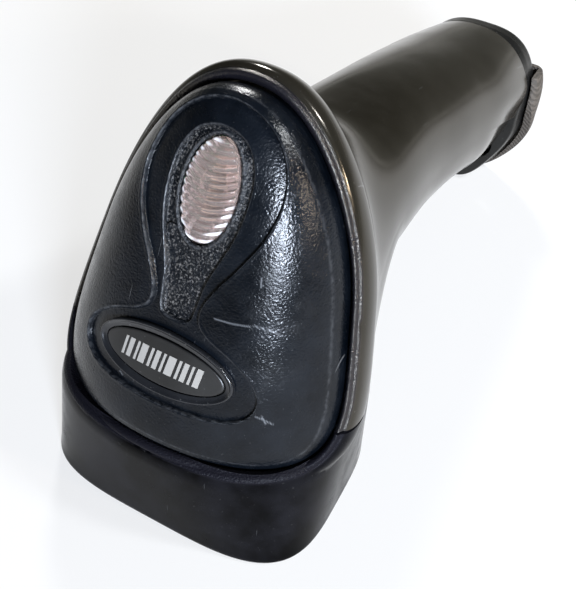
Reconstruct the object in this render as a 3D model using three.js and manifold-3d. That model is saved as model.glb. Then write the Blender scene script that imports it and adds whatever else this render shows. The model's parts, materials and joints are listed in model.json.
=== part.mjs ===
// Handheld barcode scanner lying on its nose and on the foot of its handle.
// Millimetres, +Z up. While modelling, y = 0 is near the middle of the nose, the handle runs towards +Y and the
// table is z = 0; the whole group is shifted along Y at the end so that its box is centred on the origin.
import * as THREE from "three";
import { mergeVertices } from "three/addons/utils/BufferGeometryUtils.js";
import Module from "manifold-3d";

const wasm = await Module();
wasm.setup();

// ---- driving dimensions -------------------------------------------------------------------------------------
const GAP = 0.3; // clearance between touching pieces
const WALL = 2.4; // housing wall
const CENTRE_Y = 48.93; // middle of the object along Y in the modelling frame

// The top insert: an egg-shaped domed lid. Its long axis runs from the front point to the back point.
const INSERT_FRONT = new THREE.Vector2(-25.1, 24.0); // y, z
const INSERT_BACK = new THREE.Vector2(6.9, 78.9);
const INSERT_HALF_WIDTH = 24.4;
const INSERT_TAPER = 0.27; // narrower towards the back
const INSERT_EXPONENTS = [4.1, 2.25]; // squareness of the front half, roundness of the back half
const INSERT_SIDE_DROP = 10.3; // the long edges lie this far below the centre line
const INSERT_DROP_POWER = 1.45; // the drop gathers towards the edges
const DOME = { height: 5.1, bias: 0.6, shape: 4, power: 0.36 }; // flat-topped, steep near the edge
const INSERT_THICK = 3.6;

// The nose: reading end, flat on z = 0.
const NOSE = { yMid: -1.9, halfLength: 23.4, halfWidth: 28, taper: 0.073, exponent: 3.8, topExponent: 2.3 };
const SEAM = { y: 0, z: 26, slope: -0.15 }; // parting line between the bumper and the housing

// The handle: superellipse sections [y, centre z, half width, half height].
const HANDLE = [
  [38, 41, 18, 17.4],
  [57, 38.7, 16.4, 16.8],
  [76, 35.3, 16.6, 16],
  [95, 29.6, 17, 17],
  [113, 21.4, 16, 21],
];
const HANDLE_EXPONENT = 2.3;
const PARTING = [[10, 18], [17, 21.5], [26, 27], [38, 31], [57, 29], [76, 26.5], [95, 20], [130, 3]]; // y, z
const BASE = { y: 113.9, z: 21.3, tilt: 0.135, drop: 2.2 }; // handle end plane through this point
const FOOT_END = 9.3; // the foot ends this far past the end plane

// The trigger turns about a pin across the handle, close to the chin.
const TRIGGER = { y0: 34, y1: 62, halfWidth: 9.5, pivotY: 36.5, pivotZ: 29.5, pinR: 1, stroke: 3.5 };
const SWITCH_Y = 48.5;
const SPRING_Y = 57;

// The long circuit board in the handle.
const BOARD = { y: 74, z: 33.4, slope: -0.2549, width: 22, length: 60, thick: 1.6 };
const HOUSING_SCREW_Y = [70, 92];

// The scan engine in the head.
const CHASSIS = { x: 14.2, y0: -8.2, y1: 17.4, z0: 9.9, z1: 49, wall: 2, backWall: 3.6 };
const MIRROR = { y: 5, z: 33, width: 20, height: 13, hub: 4.4 };
const WINDOW_Z = 6;
const CHASSIS_SCREWS = [[20.9, -15], [-20.9, -15], [17.8, 13.4], [-17.8, 13.4]]; // x, y
const ENGINE_SCREWS = [[-12, 15.7], [12, 15.7], [0, 15.7]];

const ROUND = 10; // curve steps of oval outlines
const SEGMENTS = 36;
const HOLLOW_SEGMENTS = 24;

// ---- solids and booleans ------------------------------------------------------------------------------------
function solid(geometry) {
  const bare = new THREE.BufferGeometry();
  bare.setAttribute("position", geometry.getAttribute("position").clone());
  if (geometry.index) bare.setIndex(geometry.index.clone());
  const merged = mergeVertices(bare, 1e-4);
  const mesh = new wasm.Mesh({
    numProp: 3,
    vertProperties: new Float32Array(merged.attributes.position.array),
    triVerts: new Uint32Array(merged.index.array),
  });
  return new wasm.Manifold(mesh);
}

function geometryOf(manifold) {
  const mesh = manifold.getMesh();
  const geometry = new THREE.BufferGeometry();
  geometry.setAttribute("position", new THREE.BufferAttribute(mesh.vertProperties, 3));
  geometry.setIndex(new THREE.BufferAttribute(mesh.triVerts, 1));
  geometry.computeVertexNormals();
  return geometry;
}

// The largest of the separate bodies that a cut leaves.
function mainBody(manifold) {
  const bodies = manifold.decompose();
  return bodies.reduce((best, body) => (body.volume() > best.volume() ? body : best));
}

function minus(body, ...tools) {
  return tools.reduce((left, tool) => left.subtract(tool), body);
}

function plus(...bodies) {
  return bodies.reduce((all, body) => all.add(body));
}

// A closed skin through rings of equally many points, with a fan at each end. Rings run anticlockwise seen
// against the direction in which they advance.
function loft(rings) {
  const count = rings[0].length;
  const points = rings.flat();
  const middle = (ring) => ring.reduce((sum, p) => sum.add(p), new THREE.Vector3()).divideScalar(count);
  points.push(middle(rings[0]), middle(rings[rings.length - 1]));
  const index = [];
  for (let k = 0; k + 1 < rings.length; k++) {
    for (let i = 0; i < count; i++) {
      const j = (i + 1) % count;
      const [a, b, c, d] = [k * count + i, k * count + j, (k + 1) * count + j, (k + 1) * count + i];
      index.push(a, b, c, a, c, d);
    }
  }
  const [first, last] = [points.length - 2, points.length - 1];
  const top = (rings.length - 1) * count;
  for (let i = 0; i < count; i++) {
    const j = (i + 1) % count;
    index.push(first, j, i, last, top + i, top + j);
  }
  const geometry = new THREE.BufferGeometry();
  geometry.setAttribute("position", new THREE.Float32BufferAttribute(points.flatMap((p) => p.toArray()), 3));
  geometry.setIndex(index);
  const made = solid(geometry);
  return made.volume() > 0 ? made : solid(flipped(geometry));
}

function flipped(geometry) {
  const order = Array.from(geometry.index.array);
  for (let i = 0; i < order.length; i += 3) [order[i + 1], order[i + 2]] = [order[i + 2], order[i + 1]];
  geometry.setIndex(order);
  return geometry;
}

function box(x0, x1, y0, y1, z0, z1) {
  const geometry = new THREE.BoxGeometry(x1 - x0, y1 - y0, z1 - z0);
  return solid(geometry.translate((x0 + x1) / 2, (y0 + y1) / 2, (z0 + z1) / 2));
}

// An outline in a frame's x, y plane, extruded from height h0 to h1 along the frame's z.
function prism(outline, frame, h0, h1, curve = 4) {
  const geometry = new THREE.ExtrudeGeometry(outline, { depth: h1 - h0, bevelEnabled: false, curveSegments: curve });
  return solid(geometry.translate(0, 0, h0).applyMatrix4(frame));
}

function rectangle(width, height, radius = 0, x = 0, y = 0) {
  const shape = new THREE.Shape();
  const [w, h] = [width / 2, height / 2];
  if (!radius) {
    shape.moveTo(x - w, y - h).lineTo(x + w, y - h).lineTo(x + w, y + h).lineTo(x - w, y + h).closePath();
    return shape;
  }
  shape.moveTo(x - w + radius, y - h);
  shape.absarc(x + w - radius, y - h + radius, radius, -Math.PI / 2, 0);
  shape.absarc(x + w - radius, y + h - radius, radius, 0, Math.PI / 2);
  shape.absarc(x - w + radius, y + h - radius, radius, Math.PI / 2, Math.PI);
  shape.absarc(x - w + radius, y - h + radius, radius, Math.PI, Math.PI * 1.5);
  return shape;
}

function ellipse(halfX, halfY, x = 0, y = 0) {
  return new THREE.Shape().absellipse(x, y, halfX, halfY, 0, Math.PI * 2);
}

// A round bar between two heights of a frame.
function bar(radius, frame, h0, h1, x = 0, y = 0, sides = 20) {
  const geometry = new THREE.CylinderGeometry(radius, radius, h1 - h0, sides);
  geometry.rotateX(Math.PI / 2).translate(x, y, (h0 + h1) / 2);
  return solid(geometry.applyMatrix4(frame));
}

// A frame at a point with local z along `normal` and local x along `across`.
function frameAt(x, y, z, normal = [0, 0, 1], across = [1, 0, 0]) {
  const w = new THREE.Vector3(...normal).normalize();
  const u = new THREE.Vector3(...across).normalize();
  const v = new THREE.Vector3().crossVectors(w, u);
  return new THREE.Matrix4().makeBasis(u, v, w).setPosition(x, y, z);
}

// ---- head surfaces ------------------------------------------------------------------------------------------
const insertLength = INSERT_BACK.distanceTo(INSERT_FRONT);
const along = INSERT_BACK.clone().sub(INSERT_FRONT).divideScalar(insertLength);
const headNormal = new THREE.Vector3(0, -along.y, along.x);
const headAlong = new THREE.Vector3(0, along.x, along.y);
const headOrigin = new THREE.Vector3(0, INSERT_FRONT.x, INSERT_FRONT.y);
const headFrame = new THREE.Matrix4().makeBasis(new THREE.Vector3(1, 0, 0), headAlong, headNormal);
headFrame.setPosition(headOrigin);

const headPoint = (x, a, h) => new THREE.Vector3(x, a, h).applyMatrix4(headFrame);
const signedPower = (value, power) => Math.sign(value) * Math.abs(value) ** power;

// Head coordinates (x, a along the insert, height) of the insert's edge at an angle, 0 at its front point.
function insertEdge(angle, scale = 1) {
  const cosine = -Math.cos(angle);
  const exponent = INSERT_EXPONENTS[cosine < 0 ? 0 : 1];
  const u = signedPower(cosine, 2 / exponent) * scale;
  const x = INSERT_HALF_WIDTH * (1 - INSERT_TAPER * u) * signedPower(Math.sin(angle), 2 / exponent) * scale;
  return [x, ((u + 1) / 2) * insertLength, u];
}

function insertHeight(x, u, scale) {
  const crown = DOME.height * (1 + DOME.bias * u) * Math.max(1 - scale ** DOME.shape, 0) ** DOME.power;
  return crown - INSERT_SIDE_DROP * (x / INSERT_HALF_WIDTH) ** 2 * scale ** INSERT_DROP_POWER;
}

const angles = (count) => Array.from({ length: count }, (_, i) => (i / count) * Math.PI * 2);

// Ring of points round the insert: `out` is the offset outwards from its edge, `down` the depth below it.
function rimRing(out, down, count = SEGMENTS) {
  const step = 1e-3;
  return angles(count).map((angle) => {
    const at = (t) => {
      const [x, a, u] = insertEdge(t);
      return headPoint(x, a, insertHeight(x, u, 1));
    };
    const tangent = at(angle + step).sub(at(angle - step)).normalize();
    const outward = new THREE.Vector3().crossVectors(tangent, headNormal).normalize();
    return at(angle).addScaledVector(outward, out).addScaledVector(headNormal, -down);
  });
}

// Solid between two surfaces parallel to the dome, out to the insert's edge.
function domeLayer(low, high, reach = 1, lowerScales = undefined) {
  const scales = [0.4, 0.65, 0.82, 0.92, 0.97, 0.99, 1].map((s) => s * reach);
  const ring = (scale, lift) => angles(SEGMENTS).map((angle) => {
    const [x, a, u] = insertEdge(angle, scale);
    return headPoint(x, a, insertHeight(x, u, Math.min(scale, 1)) + lift);
  });
  const lower = (lowerScales ?? scales).map((scale) => ring(scale, low));
  const upper = scales.map((scale) => ring(scale, high)).reverse();
  return loft([...lower, ...upper]);
}

// Smooth value through stations [y, value], with slopes from their neighbours.
function through(stations, column, y) {
  const last = stations.length - 1;
  let k = 0;
  while (k < last - 1 && y > stations[k + 1][0]) k++;
  const slope = (i) => {
    const [a, b] = [stations[Math.max(i - 1, 0)], stations[Math.min(i + 1, last)]];
    return (b[column] - a[column]) / (b[0] - a[0]);
  };
  const width = stations[k + 1][0] - stations[k][0];
  const t = (y - stations[k][0]) / width;
  const [v0, v1] = [stations[k][column], stations[k + 1][column]];
  const [m0, m1] = [slope(k) * width, slope(k + 1) * width];
  return (2 * t ** 3 - 3 * t ** 2 + 1) * v0 + (t ** 3 - 2 * t ** 2 + t) * m0
    + (3 * t ** 2 - 2 * t ** 3) * v1 + (t ** 3 - t ** 2) * m1;
}

const handleCentre = (y) => through(HANDLE, 1, y);
const handleHalfWidth = (y) => through(HANDLE, 2, y);
const handleHalfHeight = (y) => through(HANDLE, 3, y);

function handleRing(y, inset = 0, count = SEGMENTS) {
  const power = 2 / HANDLE_EXPONENT;
  return angles(count).map((angle) => new THREE.Vector3(
    (handleHalfWidth(y) - inset) * signedPower(Math.sin(angle), power),
    y,
    handleCentre(y) - (handleHalfHeight(y) - inset) * signedPower(Math.cos(angle), power),
  ));
}

// Rings that carry the skin on from the last two rings of the head's side wall to the start of the handle.
function neckRings([before, start], inset, count) {
  const end = handleRing(HANDLE[0][0], inset, count);
  const leave = start.map((p, i) => p.clone().sub(before[i]).setLength(20));
  const arrive = new THREE.Vector3(0, 30, -4);
  return [0.2, 0.4, 0.6, 0.8].map((t) => start.map((p, i) => {
    const [a, b] = [2 * t ** 3 - 3 * t ** 2 + 1, t ** 3 - 2 * t ** 2 + t];
    const [c, d] = [3 * t ** 2 - 2 * t ** 3, t ** 3 - t ** 2];
    return p.clone().multiplyScalar(a).addScaledVector(leave[i], b)
      .addScaledVector(end[i], c).addScaledVector(arrive, d);
  }));
}

const handleYs = (from, to) => {
  const steps = Math.round((to - from) / 12);
  return Array.from({ length: steps + 1 }, (_, i) => from + ((to - from) * i) / steps);
};

// Outer form of head and handle together, without the nose.
function bowlAndHandle() {
  const lip = [[0.8, 4], [0.8, 0.3], [1.1, -0.3], [1.7, -0.6], [2.3, -0.2], [2.8, 0.9]];
  const wall = [[3.4, 2.6], [3.9, 4.4], [3.6, 6.2], [1.2, 11]];
  const rings = [...lip, ...wall].map(([out, down]) => rimRing(out, down));
  const handle = handleYs(HANDLE[0][0], 124).map((y) => handleRing(y));
  return loft([...rings, ...neckRings(rings.slice(-2), 0, SEGMENTS), ...handle]);
}

// Hollow inside it: a narrow mouth under the insert leaves a ledge for the insert to sit on.
function bowlHollow() {
  const count = HOLLOW_SEGMENTS;
  const rings = [[-2.4, -12], [-2.4, 4.6], [1, 6.6], [-1.2, 11.4]].map(([out, down]) => rimRing(out, down, count));
  const handle = handleYs(HANDLE[0][0], 126).map((y) => handleRing(y, WALL, count));
  return loft([...rings, ...neckRings(rings.slice(-2), WALL, count), ...handle]);
}

function noseRing(z, inset, grow, count = SEGMENTS) {
  const flare = Math.min(Math.max(z, 0) / 22, 1);
  const power = 2 / (NOSE.exponent + (NOSE.topExponent - NOSE.exponent) * flare ** 0.6);
  const front = -NOSE.halfLength + inset - 1.6 * flare ** 1.2 + grow;
  const rear = NOSE.halfLength - inset + 5.5 * flare - grow;
  return angles(count).map((angle) => {
    const u = signedPower(-Math.cos(angle), power);
    const width = NOSE.halfWidth + 0.8 * flare - inset - grow;
    const x = width * (1 - NOSE.taper * u) * signedPower(Math.sin(angle), power);
    return new THREE.Vector3(x, NOSE.yMid + (u < 0 ? -front * u : rear * u), z);
  });
}

function noseBlock() {
  const levels = [[0, 0.6], [0.7, 0], [7, 0], [14, 0], [20, 0], [22, 0.6], [23, 2.2], [28, 7]];
  return loft(levels.map(([z, shrink]) => noseRing(z, 0, shrink)));
}

function noseHollow() {
  const levels = [[-1, 0], [14, 0], [18, 0.3], [23, 2], [25.5, 6]];
  return loft(levels.map(([z, shrink]) => noseRing(z, WALL, shrink, HOLLOW_SEGMENTS)));
}

// Slab that fills everything below the seam, moved up by `lift`.
function belowSeam(lift) {
  const at = (y) => SEAM.z + SEAM.slope * (y - SEAM.y) + lift;
  const shape = new THREE.Shape();
  shape.moveTo(-60, -20).lineTo(31, -20).lineTo(31, at(31)).lineTo(-60, at(-60)).closePath();
  return prism(shape, frameAt(0, 0, 0, [1, 0, 0], [0, 1, 0]), -60, 60);
}

// Everything under the parting line of the two housing halves, moved up by `lift`.
function belowParting(lift) {
  const shape = new THREE.Shape().moveTo(PARTING[0][0], -40);
  shape.lineTo(PARTING[0][0], PARTING[0][1] + lift);
  shape.splineThru(PARTING.slice(1).map(([y, z]) => new THREE.Vector2(y, z + lift)));
  shape.lineTo(PARTING[PARTING.length - 1][0], -40).closePath();
  return prism(shape, frameAt(0, 0, 0, [1, 0, 0], [0, 1, 0]), -60, 60);
}

const baseNormal = [0, 1, -BASE.tilt];
const baseFrame = frameAt(0, BASE.y, BASE.z, baseNormal, [1, 0, 0]);
const beyondBase = (lift) => prism(rectangle(120, 120), baseFrame, lift, 80);

// Room for the insert, open upwards.
function insertPocket(margin) {
  return loft([rimRing(margin, INSERT_THICK + GAP), rimRing(margin, -14)]);
}

// ---- frames of the parts inside -----------------------------------------------------------------------------
const boardTangent = new THREE.Vector3(0, 1, BOARD.slope).normalize();
const boardNormal = new THREE.Vector3(0, -BOARD.slope, 1).normalize();
const boardFrame = frameAt(0, BOARD.y, BOARD.z, boardNormal.toArray(), [1, 0, 0]);
const onBoard = (y) => (y - BOARD.y) / boardTangent.y; // distance along the board of the point at y
const screwFrame = (y) => boardFrame.clone().multiply(new THREE.Matrix4().makeTranslation(0, onBoard(y), 0));
const mirrorFrame = frameAt(0, MIRROR.y, MIRROR.z, [0, -1, -1], [1, 0, 0]);
const pinFrame = frameAt(0, TRIGGER.pivotY, TRIGGER.pivotZ, [1, 0, 0], [0, 1, 0]);

// ---- housing ------------------------------------------------------------------------------------------------
const outerForm = plus(bowlAndHandle(), noseBlock());
const hollow = plus(bowlHollow(), noseHollow());
const insertLedge = loft([rimRing(0.5, INSERT_THICK + GAP), rimRing(0.5, 5.6)])
  .subtract(loft([rimRing(-2.6, 0), rimRing(-2.6, 8)])).intersect(outerForm);
const skin = mainBody(plus(minus(outerForm, hollow, insertPocket(0.95), beyondBase(0)), insertLedge));
const triggerSlot = (margin) => {
  const width = 2 * (TRIGGER.halfWidth + margin);
  const length = TRIGGER.y1 - TRIGGER.y0 + 2 * margin;
  const middle = (TRIGGER.y0 + TRIGGER.y1) / 2;
  return prism(rectangle(width, length, 4, 0, middle), frameAt(0, 0, 0), 5, 34);
};

function upperHousing() {
  const half = mainBody(minus(skin, belowSeam(0.2), belowParting(0.15)));
  const posts = HOUSING_SCREW_Y.map((y) => bar(3.8, screwFrame(y), BOARD.thick + GAP, 16.5).intersect(outerForm));
  const pilots = HOUSING_SCREW_Y.map((y) => bar(1.6, screwFrame(y), 0, 12));
  return mainBody(minus(plus(half, ...posts), ...pilots));
}

function lowerHousing() {
  const lower = belowParting(-0.15);
  const half = mainBody(skin.intersect(lower).subtract(belowSeam(0.2)));
  const posts = HOUSING_SCREW_Y.map((y) => bar(3.8, screwFrame(y), -18, -GAP).intersect(outerForm).intersect(lower));
  const wells = HOUSING_SCREW_Y.map((y) => bar(3.2, screwFrame(y), -30, -10.6));
  const bores = HOUSING_SCREW_Y.map((y) => bar(1.7, screwFrame(y), -30, 2));
  const cheek = (side) => box(side * 12.3 - 1.3, side * 12.3 + 1.3, 33, 40, 22, 31).intersect(outerForm);
  const cheeks = [-1, 1].map((side) => cheek(side).intersect(lower));
  const pinHole = bar(TRIGGER.pinR + GAP, pinFrame, -15, 15);
  const whole = plus(half, ...posts, ...cheeks);
  return mainBody(minus(whole, ...wells, ...bores, pinHole, triggerSlot(0.45)));
}

function noseBumper() {
  const boot = mainBody(skin.intersect(belowSeam(-0.2)));
  const ledge = windowSlab(WINDOW_Z - 1.8, WINDOW_Z - GAP, 0.8).subtract(windowSlab(3, 7, 5.2));
  const bosses = CHASSIS_SCREWS.map((at) => bar(2.6, chassisScrewFrame(at), WINDOW_Z - 1.8, 9.5));
  const pilots = CHASSIS_SCREWS.map((at) => bar(1.3, chassisScrewFrame(at), WINDOW_Z - 0.8, 11, 0, 0, 12));
  return mainBody(minus(plus(boot, ledge, ...bosses), ...pilots));
}

function topInsert() {
  const body = domeLayer(-INSERT_THICK, 0, 1, [0.5, 0.85, 1]);
  const recess = prism(recessOutline(), headFrame, -30, 30).subtract(domeLayer(-25, -1, 1.02));
  const channel = prism(channelOutline(), headFrame, -30, 30).subtract(domeLayer(-25, -2, 1.02));
  const lensHole = prism(ellipse(LENS.halfWidth + GAP, LENS.halfLength + GAP, 0, LENS.a), headFrame, -20, 30, ROUND);
  const pegs = LAMP_PEGS.map(([x, a]) => bar(0.9, headFrame, LAMP_BOARD.low - 1.2, 4.5, x, a, 10));
  return mainBody(plus(minus(body, recess, channel, lensHole), ...pegs));
}

// Mirror-symmetric closed outline through the right-hand points (x, a).
function mirrored(points) {
  const left = points.slice(1, -1).reverse().map(([x, a]) => [-x, a]);
  const ring = [...points, ...left, points[0]].map(([x, a]) => new THREE.Vector2(x, a));
  return new THREE.Shape(new THREE.SplineCurve(ring).getPoints(40).slice(0, -1));
}

// Teardrop round the lens that opens into the oval surround of the badge.
function recessOutline() {
  return mirrored([
    [0, 61.1], [6.1, 59.4], [10.6, 54.9], [12.6, 48.4], [11.8, 42], [9.2, 36.1], [6.3, 31.1], [4.7, 27.1],
    [5, 24.3], [7.3, 22.4], [12.2, 20.3], [16.2, 17.1], [17.3, 13.7], [15.3, 10.4], [9.9, 8.5], [0, 7.9],
  ]);
}

// Narrow channel down its middle, from above the lens to the badge.
function channelOutline() {
  return mirrored([[0, 56.6], [4.3, 55.2], [6.9, 51], [7.4, 45.5], [6.7, 40], [5.2, 35.2], [3.9, 31.2], [3.3, 27], [2.6, 23.9], [0, 23.3]]);
}

const LENS = { a: 45.9, halfWidth: 4.95, halfLength: 9.05, ribs: 13 };
const LAMP_BOARD = { low: -2, thick: 1.2, width: 12, length: 19 };
const LAMP_PEGS = [[-4.6, 37.8], [4.6, 53.4]];
const BADGE = { a: 15.3, halfWidth: 13.6, halfHeight: 5.8, rim: 1.4 };

const crestHeight = (a) => {
  const u = (2 * a) / insertLength - 1;
  return insertHeight(0, u, Math.abs(u));
};

// Clear lens with ribs across it, and a stem that reaches down to the lamps.
function indicatorLens() {
  const pitch = LENS.halfLength / LENS.ribs;
  const start = LENS.a - LENS.halfLength;
  const ribbed = Array.from({ length: 2 * LENS.ribs + 1 }, (_, i) => {
    const a = start + i * pitch;
    return new THREE.Vector2(a, crestHeight(a) - (i % 2 ? 1 : 1.8));
  });
  const under = [LENS.halfLength, 0, -LENS.halfLength].map((step) => (
    new THREE.Vector2(LENS.a + step, crestHeight(LENS.a + step) - 3.4)));
  const lengthwise = headFrame.clone().multiply(frameAt(0, 0, 0, [1, 0, 0], [0, 1, 0]));
  const crown = prism(new THREE.Shape([...ribbed, ...under]), lengthwise, -8, 8)
    .intersect(prism(ellipse(LENS.halfWidth, LENS.halfLength, 0, LENS.a), headFrame, -10, 20, ROUND));
  return crown.add(prism(ellipse(2.4, 4.4, 0, LENS.a), headFrame, 1.2, 3.6, 6));
}

function badgeBezel() {
  const ring = minus(
    prism(ellipse(BADGE.halfWidth, BADGE.halfHeight, 0, BADGE.a), headFrame, -30, 30, ROUND),
    prism(ellipse(BADGE.halfWidth - BADGE.rim, BADGE.halfHeight - BADGE.rim, 0, BADGE.a), headFrame, -31, 31, ROUND),
  );
  return ring.intersect(domeLayer(-1 + GAP, 0.5));
}

function badgeFace() {
  const inset = BADGE.rim + GAP;
  const outline = ellipse(BADGE.halfWidth - inset, BADGE.halfHeight - inset, 0, BADGE.a);
  return prism(outline, headFrame, -30, 30, ROUND).intersect(domeLayer(-1 + GAP, -0.1));
}

// ---- reading window -----------------------------------------------------------------------------------------
const windowSlab = (z0, z1, inset) => loft([z0, z1].map((z) => noseRing(WINDOW_Z, inset, 0, HOLLOW_SEGMENTS)
  .map((p) => p.setZ(z))));
const chassisScrewFrame = ([x, y]) => frameAt(x, y, 0);
const cornerCut = (radius) => plus(...CHASSIS_SCREWS.map((at) => bar(radius, chassisScrewFrame(at), 5, 14, 0, 0, 12)));

const exitWindow = () => windowSlab(WINDOW_Z, WINDOW_Z + 1.6, WALL + 0.5).subtract(cornerCut(3.3));

function windowGasket() {
  const ring = windowSlab(WINDOW_Z + 1.9, WINDOW_Z + 3.6, WALL + 0.5);
  const inside = windowSlab(WINDOW_Z + 1, WINDOW_Z + 5, WALL + 3.5).subtract(cornerCut(5.6));
  return mainBody(minus(ring, inside, cornerCut(3.3)));
}

// ---- trigger and switch -------------------------------------------------------------------------------------
function trigger() {
  const ys = [32, 38, 44, 50, 56, 64];
  const bulge = (y) => 1.3 - 1.6 * ((y - 46) / 18) ** 2;
  const safeY = (y) => Math.max(y, 38);
  const section = (y, inset) => handleRing(safeY(y), inset, HOLLOW_SEGMENTS).map((p) => p.setY(y));
  const outer = loft(ys.map((y) => section(y, -bulge(y))));
  const inner = loft([30, ...ys, 66].map((y) => section(y, 2.6)));
  const pad = outer.subtract(inner).intersect(triggerSlot(0)).intersect(box(-20, 20, 20, 70, 0, 31));
  const ear = (side) => {
    const frame = frameAt(side * 6.6, 0, 0, [1, 0, 0], [0, 1, 0]);
    const shape = new THREE.Shape().moveTo(35, 24).lineTo(42, 22.6).lineTo(42, 25.5);
    shape.lineTo(39.2, 29.5).absarc(TRIGGER.pivotY, TRIGGER.pivotZ, 2.2, 0, Math.PI);
    return prism(shape.closePath(), frame, -1, 1);
  };
  const post = (y, top) => box(-2.2, 2.2, y - 1.4, y + 1.4, 22.6, top);
  const hole = bar(TRIGGER.pinR + 0.15, pinFrame, -12, 12, 0, 0, 24);
  return mainBody(plus(pad, ear(-1), ear(1), post(SWITCH_Y, 32.75)).subtract(hole));
}

const triggerPin = () => bar(TRIGGER.pinR, pinFrame, -13.2, 13.2, 0, 0, 24);

// Compression spring between the trigger and the board, as its outer tube.
function triggerSpring() {
  const frame = frameAt(0, SPRING_Y, 0);
  return bar(2.4, frame, 25.2, 36.6, 0, 0, 16).subtract(bar(1.6, frame, 24, 38, 0, 0, 16));
}

const switchFrame = boardFrame.clone().multiply(new THREE.Matrix4().makeTranslation(0, onBoard(SWITCH_Y), 0));

const switchBody = () => minus(
  prism(rectangle(6.2, 6.2, 0.6), switchFrame, -3.6, -GAP),
  bar(1.9, switchFrame, -5, -1.2),
);

const switchPlunger = () => bar(1.6, switchFrame, -6.6, -2.4);

// ---- electronics in the handle ------------------------------------------------------------------------------
function mainBoard() {
  const plate = prism(rectangle(BOARD.width, BOARD.length, 1.5), boardFrame, 0, BOARD.thick);
  const holes = HOUSING_SCREW_Y.map((y) => bar(1.9, screwFrame(y), -1, 3));
  return minus(plate, ...holes);
}

const onBoardFrame = (x, y) => boardFrame.clone().multiply(new THREE.Matrix4().makeTranslation(x, onBoard(y), 0));
const chip = (x, y, w, l, t) => prism(rectangle(w, l, 0.4), onBoardFrame(x, y), BOARD.thick + GAP, BOARD.thick + t);

const smoothingCapacitor = () => bar(2.4, onBoardFrame(6, 100), BOARD.thick + GAP, BOARD.thick + 6.5);

function beeper() {
  const frame = onBoardFrame(0, 55.4);
  const [low, high] = [BOARD.thick + GAP, BOARD.thick + 8.5];
  return bar(6, frame, low, high, 0, 0, 28).subtract(bar(1.2, frame, high - 2.5, high + 1));
}

const SOCKET = { width: 14, height: 11.2, length: 15, mouthWidth: 11.8, mouthHeight: 8.6, y: 103.5, drop: 5.75 };
const socketFrame = frameAt(0, SOCKET.y, handleCentre(SOCKET.y) - SOCKET.drop, baseNormal, [1, 0, 0]);

function cableSocket() {
  const half = SOCKET.length / 2;
  const body = prism(rectangle(SOCKET.width, SOCKET.height, 0.5), socketFrame, -half, half);
  const mouth = prism(rectangle(SOCKET.mouthWidth, SOCKET.mouthHeight), socketFrame, -half + 1.6, 20);
  return body.subtract(mouth);
}

function contactBlock() {
  const bed = prism(rectangle(10.6, 1.2, 0, 0, 3.2), socketFrame, -5.4, 5.5);
  const combs = Array.from({ length: 8 }, (_, i) => (
    prism(rectangle(0.5, 1.6, 0, -3.85 + i * 1.1, 2), socketFrame, -5.2, 3)));
  return plus(bed, ...combs);
}

// ---- base of the handle -------------------------------------------------------------------------------------
function baseRing(depth, halfWidth, halfHeight, exponent = 2.8, drop = BASE.drop) {
  return angles(SEGMENTS).map((angle) => new THREE.Vector3(
    halfWidth * signedPower(Math.sin(angle), 2 / exponent),
    halfHeight * signedPower(Math.cos(angle), 2 / exponent) + drop,
    depth,
  ).applyMatrix4(baseFrame));
}

const aboveTable = () => box(-60, 60, -60, 200, 0, 120);

function baseCollar() {
  const profile = [[GAP, 14.7, 19.2], [1.6, 14.8, 19.4], [2.6, 15.5, 20.2], [5.5, 15.4, 20], [7.2, 14.4, 19],
    [7.8, 13, 17.6]];
  const spigot = loft([-2.6, 1].map((depth) => baseRing(depth, 12.6, 16.6, HANDLE_EXPONENT, -1.2)));
  const body = loft(profile.map(([depth, w, h]) => baseRing(depth, w, h))).add(spigot);
  const mouth = prism(rectangle(SOCKET.mouthWidth + 1, SOCKET.mouthHeight + 1), socketFrame, -20, 40);
  const room = prism(rectangle(22, 28, 4), baseFrame, -5, 4.6);
  return mainBody(minus(body.intersect(aboveTable()), mouth, room));
}

// Crescent pad round the sides and underside of the base.
function baseFoot() {
  const outer = loft([[2.2, 16.9, 21.6], [3.4, 18.1, 22.4], [6.6, 18.2, 22.4], [8.6, 17.2, 21.6], [FOOT_END, 16, 20.6]]
    .map(([depth, w, h]) => baseRing(depth, w, h, 2.5)));
  const inner = loft([[0, 16.2, 21.8], [8.2, 16.2, 21.8], [8.2, 12.6, 16.5], [14, 12.6, 16.5]]
    .map(([depth, w, h]) => baseRing(depth, w, h)));
  const slant = new THREE.Shape().moveTo(115.8, 31).lineTo(150, 31).lineTo(150, 0).lineTo(119.8, 0).closePath();
  const reach = prism(slant, frameAt(0, 0, 0, [1, 0, 0], [0, 1, 0]), -60, 60);
  return mainBody(outer.subtract(inner).intersect(reach));
}

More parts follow.
